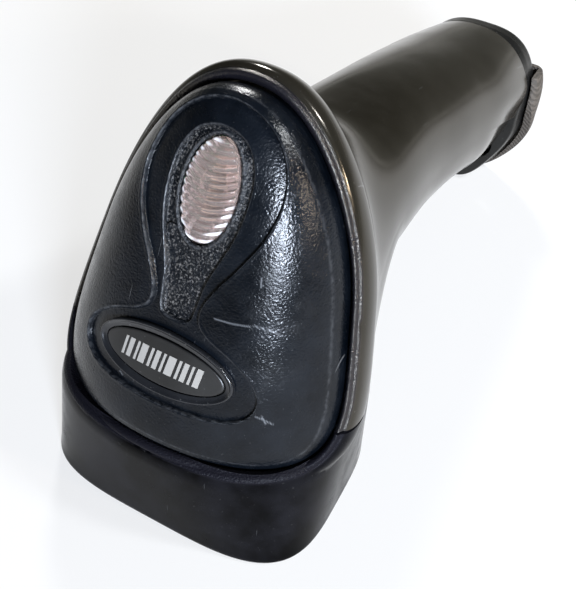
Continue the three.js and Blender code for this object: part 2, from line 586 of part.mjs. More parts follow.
// ---- scan engine --------------------------------------------------------------------------------------------
// Tray for the optics, open towards the window, with a flange that presses the window's gasket.
function opticsChassis() {
  const { x, y0, y1, z0, z1, wall, backWall } = CHASSIS;
  const room = box(-x + wall, x - wall, y0 - 1, y1 - backWall, z0 - 5, z1 - wall);
  const tray = box(-x, x, y0, y1, z0, z1);
  const flange = windowSlab(z0, z0 + 1.7, WALL + 0.9);
  const laserSeat = box(-6, 6, y0, y0 + 5, LASER.z - 4.6, z1 - 1);
  const shaftBoss = shaftRod(2.4, -16, -SHAFT.hub[0]).intersect(tray);
  const body = plus(minus(plus(tray, flange), room, box(-12.2, 12.2, -14, y0 + 1, 5, 14)), laserSeat, shaftBoss);
  const screws = ENGINE_SCREWS.map((at) => bar(1.3, frameAt(...at, 0), z1 - 7, z1 + 1, 0, 0, 12));
  const flangeHoles = CHASSIS_SCREWS.map((at) => bar(1.4, chassisScrewFrame(at), 8, 13, 0, 0, 12));
  const coilBore = bar(COIL.radius + GAP, mirrorFrame, -COIL.far - GAP, -COIL.near + 1.5, COIL.x, 0, 20);
  const shaftBore = shaftRod(SHAFT.radius + GAP, SHAFT.span[0] - GAP, SHAFT.span[1] + GAP);
  return mainBody(minus(body, laserBore(), ...screws, ...flangeHoles, coilBore, shaftBore));
}

const LASER = { y: -7.5, z: 37, radius: 3.2, half: 4.5 };
const COIL = { x: 6, radius: 3.4, near: 8, far: 12.2 };
const laserFrame = frameAt(0, LASER.y, LASER.z, [0, MIRROR.y - LASER.y, MIRROR.z - LASER.z], [1, 0, 0]);
const laserBore = () => bar(LASER.radius + GAP, laserFrame, -12, 12);
const laserBarrel = () => bar(LASER.radius, laserFrame, -LASER.half, LASER.half).subtract(bar(2.1, laserFrame, -9, 9));
const laserLens = () => bar(1.7, laserFrame, LASER.half - 2.2, LASER.half - 0.7, 0, 0, 16);
const laserCan = () => bar(1.8, laserFrame, -LASER.half - 1.5, -LASER.half + 2.5, 0, 0, 16);

// Mirror carrier: plate and hub on a fixed shaft; the hub's axis lies in the plane of the mirror.
const shaftFrame = frameAt(0, MIRROR.y, MIRROR.z, [0, 1, -1], [1, 0, 0]);
const SHAFT = { radius: 0.8, hub: [7, 5.2], span: [-10, 12] };
const shaftRod = (radius, from, to) => bar(radius, shaftFrame, from, to, 0, -MIRROR.hub, 16);

function mirrorCarrier() {
  const plate = prism(rectangle(MIRROR.width, MIRROR.height, 2), mirrorFrame, -3.4, -1.2);
  const hub = shaftRod(2, -SHAFT.hub[0] + GAP, SHAFT.hub[1]);
  return mainBody(minus(plus(plate, hub), shaftRod(SHAFT.radius + 0.15, -12, 10)));
}

const scanMirror = () => prism(rectangle(MIRROR.width - 1, MIRROR.height - 1, 1.5), mirrorFrame, -0.9, 0);
const mirrorShaft = () => shaftRod(SHAFT.radius, ...SHAFT.span);
const mirrorMagnet = () => prism(rectangle(4.4, 4.4, 0.4, COIL.x, 0), mirrorFrame, -5.7, -3.7);

function driveCoil() {
  const winding = bar(COIL.radius, mirrorFrame, -COIL.far, -COIL.near, COIL.x, 0, 20);
  return winding.subtract(bar(1.3, mirrorFrame, -20, 0, COIL.x, 0, 12));
}

const coilCore = () => bar(1, mirrorFrame, -COIL.far, -COIL.near, COIL.x, 0, 12);

// Dished mirror that gathers the light coming back.
function collectorMirror() {
  const frame = frameAt(0, CHASSIS.y0 + 1, 23.5, [0, 1, 0.25], [1, 0, 0]);
  const plate = prism(rectangle(22, 13, 2), frame, 0, 3);
  const dish = new THREE.SphereGeometry(60, 48, 40).rotateX(Math.PI / 2).translate(0, 0, 60.9).applyMatrix4(frame);
  return plate.subtract(solid(dish));
}

const diodeFrame = frameAt(-8.5, 5.5, 44.2, [0, -1, -1.2], [1, 0, 0]);
const photodiode = () => prism(rectangle(5, 4, 0.4), diodeFrame, -1.6, 0);
const lightFilter = () => prism(rectangle(5.6, 4.6), diodeFrame, GAP, GAP + 0.9);

const engineTop = CHASSIS.z1 + 0.4;
const ENGINE_THICK = 1.4;

function engineBoard() {
  const flat = prism(rectangle(28, 22.6, 1, 0, 6.8), new THREE.Matrix4(), engineTop, engineTop + ENGINE_THICK);
  const holes = ENGINE_SCREWS.map(([x, y]) => bar(1.3, frameAt(x, y, 0), 45, 55, 0, 0, 12));
  return minus(flat, ...holes);
}

const onEngine = (x, y, w, l, t) => box(x - w / 2, x + w / 2, y - l / 2, y + l / 2,
  engineTop + ENGINE_THICK + GAP, engineTop + ENGINE_THICK + t);

// Flat cable from the engine board over the neck to the long board, as a strip with soft bends.
function flatCable() {
  const route = new THREE.SplineCurve([[10.2, 54.9], [19, 56], [28, 53.2], [38, 46.9], [47.4, 45.8]]
    .map(([y, z]) => new THREE.Vector2(y, z)));
  const upper = route.getPoints(14);
  const lower = upper.map((p) => new THREE.Vector2(p.x, p.y - 0.4)).reverse();
  return prism(new THREE.Shape([...upper, ...lower]), frameAt(0, 0, 0, [1, 0, 0], [0, 1, 0]), -5, 5);
}

const lampBoardTop = LAMP_BOARD.low + LAMP_BOARD.thick;

function lampBoard() {
  const plate = prism(rectangle(LAMP_BOARD.width, LAMP_BOARD.length, 1, 0, LENS.a), headFrame, LAMP_BOARD.low, lampBoardTop);
  return minus(plate, ...LAMP_PEGS.map(([x, a]) => bar(1.2, headFrame, -8, 8, x, a, 12)));
}

const statusLamp = (a) => prism(rectangle(3, 2.4, 0, 0, a), headFrame, lampBoardTop + GAP, lampBoardTop + 1.5);

// ---- screws -------------------------------------------------------------------------------------------------
// Pan-head screw with a cross recess; its head sits on height 0 of the frame and its shank points down.
function screw(frame, shankRadius, length, headRadius, headHeight) {
  const profile = [[0, -length], [shankRadius * 0.6, -length], [shankRadius, -length + 0.8], [shankRadius, 0],
    [headRadius, 0], [headRadius, headHeight * 0.5], [headRadius * 0.7, headHeight], [0, headHeight]];
  const lathe = new THREE.LatheGeometry(profile.map(([x, y]) => new THREE.Vector2(x, y)), 12);
  const body = solid(lathe.rotateX(Math.PI / 2));
  const arm = (w, l) => box(-w / 2, w / 2, -l / 2, l / 2, headHeight * 0.35, headHeight + 1);
  const [narrow, wide] = [headRadius * 0.28, headRadius * 1.15];
  return body.subtract(plus(arm(narrow, wide), arm(wide, narrow))).transform(Array.from(frame.elements));
}

const turned = (frame) => frame.clone().multiply(new THREE.Matrix4().makeRotationX(Math.PI));
const lifted = (frame, lift) => frame.clone().multiply(new THREE.Matrix4().makeTranslation(0, 0, lift));
const housingScrew = (y) => screw(turned(lifted(screwFrame(y), -10.9)), 1.2, 20, 2.8, 2);
const chassisScrew = (at) => screw(frameAt(...at, CHASSIS.z0 + 2), 0.9, 6.4, 1.9, 1.3);
const engineScrew = (at) => screw(frameAt(...at, engineTop + ENGINE_THICK + GAP), 0.9, 7, 1.9, 1.3);

function buildGroup() {
  const group = new THREE.Group();
  group.position.y = -CENTRE_Y;
  const add = (name, manifold, colour, roughness, metalness = 0, extra = {}) => {
    const material = new THREE.MeshStandardMaterial({ color: colour, roughness, metalness, ...extra });
    const mesh = new THREE.Mesh(geometryOf(manifold), material);
    mesh.name = name;
    group.add(mesh);
  };
  add("upper_housing", upperHousing(), 0x141417, 0.3);
  add("lower_housing", lowerHousing(), 0x1b1a19, 0.55);
  add("nose_bumper", noseBumper(), 0x0e0e11, 0.4);
  add("top_insert", topInsert(), 0x1a1f27, 0.45);
  add("indicator_lens", indicatorLens(), 0xc9c0c4, 0.1, 0, { transparent: true, opacity: 0.5 });
  add("badge_bezel", badgeBezel(), 0x15161a, 0.2);
  add("badge_face", badgeFace(), 0x101115, 0.4);
  add("exit_window", exitWindow(), 0x3a0507, 0.05, 0, { transparent: true, opacity: 0.6 });
  add("window_gasket", windowGasket(), 0x101010, 0.8);
  add("trigger", trigger(), 0x141417, 0.4);
  add("trigger_pin", triggerPin(), 0xb8bcc2, 0.3, 1);
  add("trigger_spring", triggerSpring(), 0xb8bcc2, 0.3, 1);
  add("switch_body", switchBody(), 0x202024, 0.6);
  add("switch_plunger", switchPlunger(), 0xd8d2c4, 0.5);
  add("main_board", mainBoard(), 0x0d4f2c, 0.5);
  add("decoder_chip", chip(0, 80.5, 12, 12, 1.7), 0x18181a, 0.6);
  add("memory_chip", chip(-4.5, 99.5, 7, 5, 1.4), 0x18181a, 0.6);
  add("smoothing_capacitor", smoothingCapacitor(), 0x26282c, 0.4);
  add("board_connector", chip(0, 46.6, 12, 2.6, 2.6), 0xd9d3c2, 0.5);
  add("beeper", beeper(), 0x161616, 0.5);
  add("cable_socket", cableSocket(), 0x1c1c1e, 0.5);
  add("contact_block", contactBlock(), 0xc9a24a, 0.3, 1);
  add("base_collar", baseCollar(), 0x121214, 0.4);
  add("base_foot", baseFoot(), 0x2b2926, 0.8);
  add("optics_chassis", opticsChassis(), 0x2a2a2c, 0.7);
  add("laser_barrel", laserBarrel(), 0xb08d3c, 0.3, 1);
  add("laser_lens", laserLens(), 0xdfe6ee, 0.05, 0, { transparent: true, opacity: 0.5 });
  add("laser_can", laserCan(), 0xc4a24c, 0.3, 1);
  add("mirror_carrier", mirrorCarrier(), 0x232325, 0.6);
  add("scan_mirror", scanMirror(), 0xe8ecef, 0.03, 1);
  add("mirror_shaft", mirrorShaft(), 0xb8bcc2, 0.3, 1);
  add("mirror_magnet", mirrorMagnet(), 0x8d9094, 0.3, 1);
  add("drive_coil", driveCoil(), 0xa8602c, 0.4, 0.6);
  add("coil_core", coilCore(), 0x9a9da2, 0.4, 1);
  add("collector_mirror", collectorMirror(), 0xdde2e6, 0.05, 1);
  add("photodiode", photodiode(), 0x1c1c22, 0.3);
  add("light_filter", lightFilter(), 0x5a0a10, 0.1, 0, { transparent: true, opacity: 0.6 });
  add("engine_board", engineBoard(), 0x0d4f2c, 0.5);
  add("engine_chip", onEngine(0, 3, 7, 7, 1.3), 0x18181a, 0.6);
  add("engine_connector", onEngine(0, 10.6, 12, 2.6, 2.4), 0xd9d3c2, 0.5);
  add("flat_cable", flatCable(), 0xcfcfc8, 0.5);
  add("lamp_board", lampBoard(), 0x0d4f2c, 0.5);
  [42.8, 48.4].forEach((a, i) => add(`status_lamp_${i + 1}`, statusLamp(a), 0xe8e4d0, 0.3));
  HOUSING_SCREW_Y.forEach((y, i) => add(`housing_screw_${i + 1}`, housingScrew(y), 0x6b6e73, 0.35, 1));
  CHASSIS_SCREWS.forEach((at, i) => add(`chassis_screw_${i + 1}`, chassisScrew(at), 0x9a9da2, 0.35, 1));
  ENGINE_SCREWS.forEach((at, i) => add(`engine_screw_${i + 1}`, engineScrew(at), 0x9a9da2, 0.35, 1));
  return group;
}

export default buildGroup();
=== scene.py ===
# Looks of the handheld barcode scanner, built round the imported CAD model.
# Shapes are worked out in millimetres in the part's modelling frame and moved to the row frame in metres.
import json
import math
from types import SimpleNamespace

import bmesh
import bpy
import numpy as np
from mathutils import Matrix, Vector


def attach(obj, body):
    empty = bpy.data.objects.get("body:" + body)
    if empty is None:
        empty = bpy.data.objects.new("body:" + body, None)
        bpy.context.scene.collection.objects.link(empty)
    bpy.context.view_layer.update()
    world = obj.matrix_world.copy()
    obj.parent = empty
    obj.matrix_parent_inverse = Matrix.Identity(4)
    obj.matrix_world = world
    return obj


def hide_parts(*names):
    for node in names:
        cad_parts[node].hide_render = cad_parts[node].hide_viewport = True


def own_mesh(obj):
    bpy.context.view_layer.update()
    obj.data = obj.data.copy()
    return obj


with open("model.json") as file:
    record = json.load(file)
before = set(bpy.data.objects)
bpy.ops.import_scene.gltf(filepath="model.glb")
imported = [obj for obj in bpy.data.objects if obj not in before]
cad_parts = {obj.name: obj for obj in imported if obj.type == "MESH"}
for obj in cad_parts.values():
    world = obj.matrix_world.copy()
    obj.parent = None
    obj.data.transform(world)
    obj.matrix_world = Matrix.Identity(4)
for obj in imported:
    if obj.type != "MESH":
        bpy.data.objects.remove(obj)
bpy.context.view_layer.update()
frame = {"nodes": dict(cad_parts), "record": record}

MM = 0.001
CENTRE_Y = 48.93
GAP = 0.3
WALL = 2.4

# ---- numbers shared with the part ----
FRONT, BACK = np.array([-25.1, 24.0]), np.array([6.9, 78.9])
HALF_WIDTH, TAPER, SIDE_DROP, THICK = 24.4, 0.27, 10.3, 3.6
EDGE_EXPONENTS = (4.1, 2.25)
RIM_SLIM = 0.9
DOME_HEIGHT, DOME_BIAS, DOME_SHAPE, DOME_POWER, DROP_POWER = 5.1, 0.6, 4, 0.36, 1.45
NOSE_Y, NOSE_LONG, NOSE_WIDE, NOSE_TAPER, NOSE_EXPONENTS = -1.9, 23.4, 28.0, 0.073, (3.8, 2.3)  # foot, top
SEAM_Z, SEAM_SLOPE = 26.0, -0.15
HANDLE = np.array([[38, 41, 18, 17.4], [57, 38.7, 16.4, 16.8], [76, 35.3, 16.6, 16], [95, 29.6, 17, 17],
                   [113, 21.4, 16, 21]], float)
HANDLE_START, HANDLE_EXPONENT = 38, 2.3
EGG = 1.0  # how strongly the end of the handle narrows towards its underside
SEAM_GAP = (-0.2, 0.38)  # bumper edge and shell edge, above the seam
PARTING_GAP = 0.15  # half the gap between the two shells
INSERT_GAP = 0.44
HANDLE_CUT = -1.4  # where the shells end, along the base frame, so that the collar shows
PARTING = np.array([[10, 18], [17, 21.5], [26, 27], [38, 31], [57, 29], [76, 26.5], [95, 20], [130, 3]], float)
BASE_Y, BASE_Z, BASE_TILT, BASE_DROP = 113.9, 21.3, 0.135, 2.2
TRIGGER_Y, TRIGGER_HALF = (34.0, 62.0), 9.5
PIVOT = (36.5, 29.5)
BOARD = dict(y=74.0, z=33.4, slope=-0.2549, thick=1.6)
SCREW_Y = (70.0, 92.0)
POST_RADIUS, THREAD_RADIUS, SHANK_RADIUS, WELL_RADIUS, WELL_FLOOR = 3.8, 1.6, 1.7, 3.2, -10.6
BOSS_RADIUS, BOSS_HOLE, LEDGE = 2.6, 1.3, 1.8
CHEEK_X, CHEEK_HALF, PIN_HOLE, SLOT_GAP = 12.3, 1.3, 1.3, 0.45  # what holds and surrounds the trigger
RECESS_DEPTH, LIP_HEIGHT, RING_HEIGHT = 1.0, 0.05, 0.28  # relief of the insert
FAR = 60  # past every side of the part
WINDOW_Z = 6.0
CHASSIS_SCREWS = [(20.9, -15.0), (-20.9, -15.0), (17.8, 13.4), (-17.8, 13.4)]
LENS_A, LENS_WIDE, LENS_LONG, LENS_SINK = 45.9, 4.95, 9.05, 1.5  # centre, half sizes, depth under the dome
RIBS, RIB_HEIGHT, RIB_BEND = 13, 0.4, 0.07
BADGE_A, BADGE_WIDE, BADGE_LONG, BADGE_RIM = 15.3, 13.6, 5.8, 1.4
SOCKET_Y, SOCKET_DROP = 103.5, 5.75

LENGTH = float(np.linalg.norm(BACK - FRONT))
AY, AZ = (BACK - FRONT) / LENGTH
NORMAL = np.array([0.0, -AZ, AY])


def unit(v):
    v = np.asarray(v, float)
    return v / np.linalg.norm(v, axis=-1, keepdims=True)


def turn(count):
    return np.linspace(0, 2 * np.pi, count, endpoint=False)


def power(value, exponent):
    return np.sign(value) * np.abs(value) ** exponent


def smooth(value, low, high):
    t = np.clip((value - low) / (high - low), 0, 1)
    return t * t * (3 - 2 * t)


def bell(distance, width):
    return np.exp(-(distance / width) ** 2)


def head(x, a, h):
    """Points over the head plane: x across, a along from the front, h above it."""
    return np.stack([x + 0 * a, FRONT[0] + a * AY - h * AZ, FRONT[1] + a * AZ + h * AY], -1)


def insert_edge(t, scale=1.0):
    """Outline of the insert, or of a scaled copy: across, along, and along as -1 to 1."""
    c = -np.cos(t)
    exponent = np.where(c < 0, EDGE_EXPONENTS[0], EDGE_EXPONENTS[1])
    u = power(c, 2 / exponent) * scale
    x = HALF_WIDTH * (1 - TAPER * u) * power(np.sin(t), 2 / exponent) * scale
    return x, (u + 1) / 2 * LENGTH, u


def insert_height(x, u, scale):
    crown = DOME_HEIGHT * (1 + DOME_BIAS * u) * np.maximum(1 - scale**DOME_SHAPE, 0) ** DOME_POWER
    return crown - SIDE_DROP * (x / HALF_WIDTH) ** 2 * scale**DROP_POWER


def even_angles(curve, count, share=1.0):
    """Angles that space the closed curve's points evenly; `share` mixes in plain even angles."""
    t = np.linspace(0, 2 * np.pi, 40001)
    p = curve(t)
    s = np.concatenate([[0], np.cumsum(np.linalg.norm(np.diff(p, axis=0), axis=1))])
    even = np.interp(np.linspace(0, s[-1], count, endpoint=False), s, t)
    return share * even + (1 - share) * turn(count)


def edge_point(t):
    x, a, u = insert_edge(t)
    return head(x, a, insert_height(x, u, 1.0))


def rim_ring(out, down, t):
    """Ring round the insert's edge, moved outward and down from it."""
    tangent = unit(edge_point(t + 1e-4) - edge_point(t - 1e-4))
    outward = unit(np.cross(tangent, NORMAL))
    slim = RIM_SLIM * min(max((out - 0.8) / 2.6, 0), 1) * np.sin(t) ** 2
    return edge_point(t) + outward * (out - slim)[:, None] - NORMAL * down


def hermite(s, start, leave, end, arrive):
    return (start * (2 * s**3 - 3 * s**2 + 1) + leave * (s**3 - 2 * s**2 + s)
            + end * (3 * s**2 - 2 * s**3) + arrive * (s**3 - s**2))


def through(column, y):
    """Smooth value through the handle's stations, with slopes from their neighbours."""
    ys, vs = HANDLE[:, 0], HANDLE[:, column]
    last = len(ys) - 1
    slope = np.array([(vs[min(i + 1, last)] - vs[max(i - 1, 0)]) / (ys[min(i + 1, last)] - ys[max(i - 1, 0)])
                      for i in range(last + 1)])
    k = int(np.clip(np.searchsorted(ys, y, side="left") - 1, 0, last - 1))
    w = ys[k + 1] - ys[k]
    return hermite((y - ys[k]) / w, vs[k], slope[k] * w, vs[k + 1], slope[k + 1] * w)


def handle_ring(y, inset, t):
    """Section of the handle; towards its end it turns egg-shaped."""
    e = 2 / HANDLE_EXPONENT
    low = power(np.cos(t), e)
    egg = EGG * float(smooth(y, 84, 114))
    shape = np.where(low > 0, -0.06 - 0.28 * np.sqrt(np.abs(low)) * (1 - 0.3 * np.abs(low)),
                     -0.06 + 0.15 * smooth(-low, 0.0, 0.5))
    x = (through(2, y) * (1 + egg * shape) - inset) * power(np.sin(t), e)
    half_height = through(3, y) - inset - np.where(low > 0, 3.0 * egg, 0)
    z = through(1, y) - half_height * low
    return np.stack([x, np.full_like(x, y), z], -1)


def neck_rings(before, start, inset, t, steps):
    """Rings that lead from the end of the bowl into the handle, without either end."""
    end = handle_ring(HANDLE_START, inset, t)
    leave = unit(start - before) * 20
    arrive = (handle_ring(HANDLE_START + 0.5, inset, t) - end) / 0.5 * 30
    return [hermite(s, start, leave, end, arrive) for s in np.linspace(0, 1, steps + 1)[1:-1]]


def curve_through(points, per):
    """Catmull-Rom curve through 2-D points, `per` steps for each stretch."""
    p = np.asarray(points, float)
    padded = np.vstack([2 * p[0] - p[1], p, 2 * p[-1] - p[-2]])
    made = []
    for k in range(len(p) - 1):
        p0, p1, p2, p3 = padded[k:k + 4]
        for s in np.arange(per) / per:
            made.append(0.5 * (2 * p1 + (p2 - p0) * s + (2 * p0 - 5 * p1 + 4 * p2 - p3) * s**2
                               + (3 * p1 - p0 - 3 * p2 + p3) * s**3))
    made.append(p[-1])
    return np.array(made)


def nose_ring(z, inset, grow, t):
    """Level section of the nose block, which flares towards the top."""
    flare = min(max(z, 0) / 22, 1)
    e = 2 / (NOSE_EXPONENTS[0] + (NOSE_EXPONENTS[1] - NOSE_EXPONENTS[0]) * flare**0.6)
    front = -NOSE_LONG + inset - 1.6 * flare**1.2 + grow
    rear = NOSE_LONG - inset + 5.5 * flare - grow
    u = power(-np.cos(t), e)
    width = NOSE_WIDE + 0.8 * flare - inset - grow
    x = width * (1 - NOSE_TAPER * u) * power(np.sin(t), e)
    y = NOSE_Y + np.where(u < 0, -front * u, rear * u)
    return np.stack([x, y, np.full_like(x, float(z))], -1)


# ---- meshes and cuts ----
def grid_faces(rows, columns, closed=False):
    """Quads between rings of `columns` points; a closed grid also joins the last ring to the first."""
    return [(k * columns + i, k * columns + (i + 1) % columns,
             (k + 1) % rows * columns + (i + 1) % columns, (k + 1) % rows * columns + i)
            for k in range(rows if closed else rows - 1) for i in range(columns)]


def loft(rings):
    """Vertices and faces of a closed skin through rings of equally many points."""
    rings = [np.asarray(r, float) for r in rings]
    m, n = len(rings), len(rings[0])
    points = np.vstack(rings + [rings[0].mean(0)[None], rings[-1].mean(0)[None]])
    top, first, last = (m - 1) * n, m * n, m * n + 1
    faces = grid_faces(m, n) + [(first, (i + 1) % n, i) for i in range(n)]
    return points, faces + [(last, top + i, top + (i + 1) % n) for i in range(n)]


def volume(points, faces):
    total = 0.0
    for f in faces:
        for k in range(1, len(f) - 1):
            total += float(np.dot(points[f[0]], np.cross(points[f[k]], points[f[k + 1]])))
    return total


def outward_faces(points, faces):
    return [f[::-1] for f in faces] if volume(points, faces) < 0 else faces


def raw_mesh(points, faces):
    mesh = bpy.data.meshes.new("scrap")
    mesh.from_pydata(points.tolist(), [], faces)
    mesh.update()
    return mesh


def mesh_of(solid):
    points, faces = solid
    some = faces[:: max(1, len(faces) // 4000)]
    if volume(points - points.mean(0), some) < 0:
        faces = outward_faces(points, faces)
    return raw_mesh(points, faces)


def prism(outline, base, h0, h1):
    """Outline points (u, v) in a frame (origin, u axis, v axis, w axis), from height h0 to h1 along w."""
    origin, u, v, w = (np.asarray(c, float) for c in base)
    o = np.asarray(outline, float)
    ring = origin + o[:, :1] * u + o[:, 1:2] * v
    return loft([ring + w * h0, ring + w * h1])


def axes(normal=(0, 0, 1), across=(1, 0, 0), at=(0, 0, 0)):
    w, u = unit(normal), unit(across)
    return np.asarray(at, float), u, np.cross(w, u), w


def block(x0, x1, y0, y1, z0, z1):
    return prism([(x0, y0), (x1, y0), (x1, y1), (x0, y1)], axes(), z0, z1)


def oval(half_u, half_v, at=(0, 0), count=96):
    t = turn(count)
    return np.stack([at[0] + half_u * np.cos(t), at[1] + half_v * np.sin(t)], -1)


def circle(radius, count=48, at=(0, 0)):
    return oval(radius, radius, at, count)


def rounded(width, height, radius, at=(0, 0), steps=8):
    points = []
    for cx, cy, start in ((1, -1, -90), (1, 1, 0), (-1, 1, 90), (-1, -1, 180)):
        for k in range(steps + 1):
            a = math.radians(start + 90 * k / steps)
            points.append((at[0] + cx * (width / 2 - radius) + radius * math.cos(a),
                           at[1] + cy * (height / 2 - radius) + radius * math.sin(a)))
    return np.array(points)


def add_object(name, data):
    made = bpy.data.objects.new(name, data)
    bpy.context.scene.collection.objects.link(made)
    return made


def combine(base, *steps):
    """New mesh after cuts ("-", solid), joins ("+", solid) and intersections ("&", solid), in order."""
    kinds = {"-": "DIFFERENCE", "+": "UNION", "&": "INTERSECT"}
    mesh = base if isinstance(base, bpy.types.Mesh) else mesh_of(base)
    for kind, tool in steps:
        body = add_object("scrap_body", mesh)
        knife = add_object("scrap_tool", tool if isinstance(tool, bpy.types.Mesh) else mesh_of(tool))
        modifier = body.modifiers.new("cut", "BOOLEAN")
        modifier.operation = kinds[kind]
        modifier.solver = "MANIFOLD"
        modifier.object = knife
        bpy.context.view_layer.update()
        dg = bpy.context.evaluated_depsgraph_get()
        mesh = bpy.data.meshes.new_from_object(body.evaluated_get(dg))
        for o in (body, knife):
            bpy.data.objects.remove(o)
    return mesh


def coordinates(mesh):
    co = np.zeros(len(mesh.vertices) * 3)
    mesh.vertices.foreach_get("co", co)
    return co.reshape(-1, 3)


def main_body(mesh):
    """Keeps the largest connected piece of a mesh."""
    n = len(mesh.vertices)
    edges = np.zeros(len(mesh.edges) * 2, int)
    mesh.edges.foreach_get("vertices", edges)
    edges = edges.reshape(-1, 2)
    label = np.arange(n)
    while True:
        low = np.minimum(label[edges[:, 0]], label[edges[:, 1]])
        new = label.copy()
        np.minimum.at(new, edges[:, 0], low)
        np.minimum.at(new, edges[:, 1], low)
        new = new[new]
        if (new == label).all():
            break
        label = new
    names, counts = np.unique(label, return_counts=True)
    keep = label == names[counts.argmax()]
    if keep.all():
        return mesh
    bm = bmesh.new()
    bm.from_mesh(mesh)
    bm.verts.ensure_lookup_table()
    bmesh.ops.delete(bm, geom=[v for v, k in zip(bm.verts, keep.tolist()) if not k], context="VERTS")
    bm.to_mesh(mesh)
    bm.free()
    return mesh


def place(name, solid, slot_name, stands_for, angle, attributes=None, body="housing"):
    """Makes the piece in the row frame, shades it smooth up to an angle, and lets it ride on its body."""
    mesh = solid if isinstance(solid, bpy.types.Mesh) else mesh_of(solid)
    mesh.name = name
    co = coordinates(mesh)
    if attributes:
        for key, values in attributes(co).items():
            layer = mesh.attributes.get(key) or mesh.attributes.new(key, "FLOAT", "POINT")
            layer.data.foreach_set("value", np.asarray(values, np.float32))
    co[:, 1] -= CENTRE_Y
    mesh.vertices.foreach_set("co", (co * MM).ravel())
    mesh.shade_smooth()
    mesh.set_sharp_from_angle(angle=math.radians(angle))
    mesh.materials.clear()
    mesh.materials.append(MATERIALS[slot_name])
    mesh.update()
    piece = add_object(name, mesh)
    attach(piece, body)
    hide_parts(*stands_for)
    return piece


# ---- materials ----
def add_node(nodes, kind, **inputs):
    """New shader node; an underscore in an input's name stands for a space."""
    node = nodes.new("ShaderNode" + kind)
    for key, value in inputs.items():
        node.inputs[key.replace("_", " ")].default_value = value
    return node


def material(name, colour, rough, metal=0.0, spec=0.5, spec_tint=(1, 1, 1), coat=0.0, grain=0.0, grain_size=0.2,
             mottle=0.15, mottle_size=9.0, rough_var=0.08, transmission=0.0, scratch=0.0, dust=0.0,
             dust_colour=(0.35, 0.34, 0.32), extra=None, stretch=(1, 1, 1)):
    """Principled material in object coordinates: mottled colour, uneven roughness, fine grain and hairlines.

    Lengths are millimetres. `extra(kit, hue, roughness)` gives back both sockets, and a height socket or None."""
    made = bpy.data.materials.new(name)
    made.use_nodes = True
    nodes, links = made.node_tree.nodes, made.node_tree.links
    nodes.clear()
    out = add_node(nodes, "OutputMaterial")
    shader = add_node(nodes, "BsdfPrincipled", Metallic=metal, IOR=1.46, Specular_IOR_Level=spec,
                      Specular_Tint=(*spec_tint, 1), Coat_Weight=coat, Coat_Roughness=0.12,
                      Transmission_Weight=transmission)
    links.new(shader.outputs[0], out.inputs[0])
    where = add_node(nodes, "TexCoord").outputs["Object"]
    if stretch != (1, 1, 1):
        scaled = add_node(nodes, "Mapping", Scale=stretch)
        links.new(where, scaled.inputs["Vector"])
        where = scaled.outputs[0]

    def noise(size, detail=3.0, roughness=0.55):
        n = add_node(nodes, "TexNoise", Scale=1000.0 / size, Detail=detail, Roughness=roughness)
        links.new(where, n.inputs["Vector"])
        return n.outputs["Fac"]

    def ranged(value, low, high, to_low, to_high):
        n = add_node(nodes, "MapRange", From_Min=low, From_Max=high, To_Min=to_low, To_Max=to_high)
        links.new(value, n.inputs["Value"])
        return n.outputs["Result"]

    def mixed(factor, a, b):
        n = add_node(nodes, "Mix")
        n.data_type = "RGBA"
        for value, socket in ((factor, n.inputs[0]), (a, n.inputs[6]), (b, n.inputs[7])):
            if isinstance(value, bpy.types.NodeSocket):
                links.new(value, socket)
            elif socket is n.inputs[0]:
                socket.default_value = value
            else:
                socket.default_value = (*value, 1)
        return n.outputs[2]

    def math_node(operation, a, b=0.0):
        n = add_node(nodes, "Math")
        n.operation = operation
        for value, socket in ((a, n.inputs[0]), (b, n.inputs[1])):
            if isinstance(value, bpy.types.NodeSocket):
                links.new(value, socket)
            else:
                socket.default_value = value
        return n.outputs[0]

    light = tuple(min(c * (1 + mottle) + 0.002, 1) for c in colour)
    dark = tuple(c * (1 - mottle) for c in colour)
    hue = mixed(ranged(noise(mottle_size), 0.35, 0.65, 0, 1), dark, light)
    roughness = ranged(noise(mottle_size * 0.45, 4), 0.3, 0.7, max(rough - rough_var, 0.02), rough + rough_var)
    height = None
    if dust:
        specks = ranged(noise(0.45, 2, 0.5), 0.7, 0.76, 0, dust)
        hue = mixed(specks, hue, dust_colour)
    if scratch:
        for lean, shift in ((0.6, 0.0), (-1.1, 0.37)):
            swirl = add_node(nodes, "Mapping", Rotation=(0.4 + lean, 0.3, lean), Location=(shift, shift, shift),
                             Scale=(1, 0.03, 0.03))
            links.new(where, swirl.inputs["Vector"])
            streak = add_node(nodes, "TexNoise", Scale=2600, Detail=1)
            links.new(swirl.outputs[0], streak.inputs["Vector"])
            hair = ranged(streak.outputs["Fac"], 0.765, 0.785, 0, scratch)
            hair = math_node("MULTIPLY", hair, ranged(noise(6 + 3 * shift, 1), 0.56, 0.6, 0, 1))
            hue = mixed(hair, hue, (0.16, 0.16, 0.16))
    if extra:
        kit = SimpleNamespace(noise=noise, ranged=ranged, mixed=mixed, math=math_node, nodes=nodes, links=links,
                              where=where, shader=shader)
        hue, roughness, height = extra(kit, hue, roughness)
    if grain:
        fine = noise(grain_size, 2, 0.5)
        height = math_node("ADD", fine, height) if height is not None else fine
    links.new(hue, shader.inputs["Base Color"])
    links.new(roughness, shader.inputs["Roughness"])
    if height is not None:
        bump = add_node(nodes, "Bump", Strength=1.0, Distance=max(grain, 0.001) * MM)
        links.new(height, bump.inputs["Height"])
        links.new(bump.outputs[0], shader.inputs["Normal"])
    return made


def product(kit, first, *others):
    for other in others:
        first = kit.math("MULTIPLY", first, other)
    return first


def attribute_of(kit, name):
    n = add_node(kit.nodes, "Attribute")
    n.attribute_name = name
    return n.outputs["Fac"]


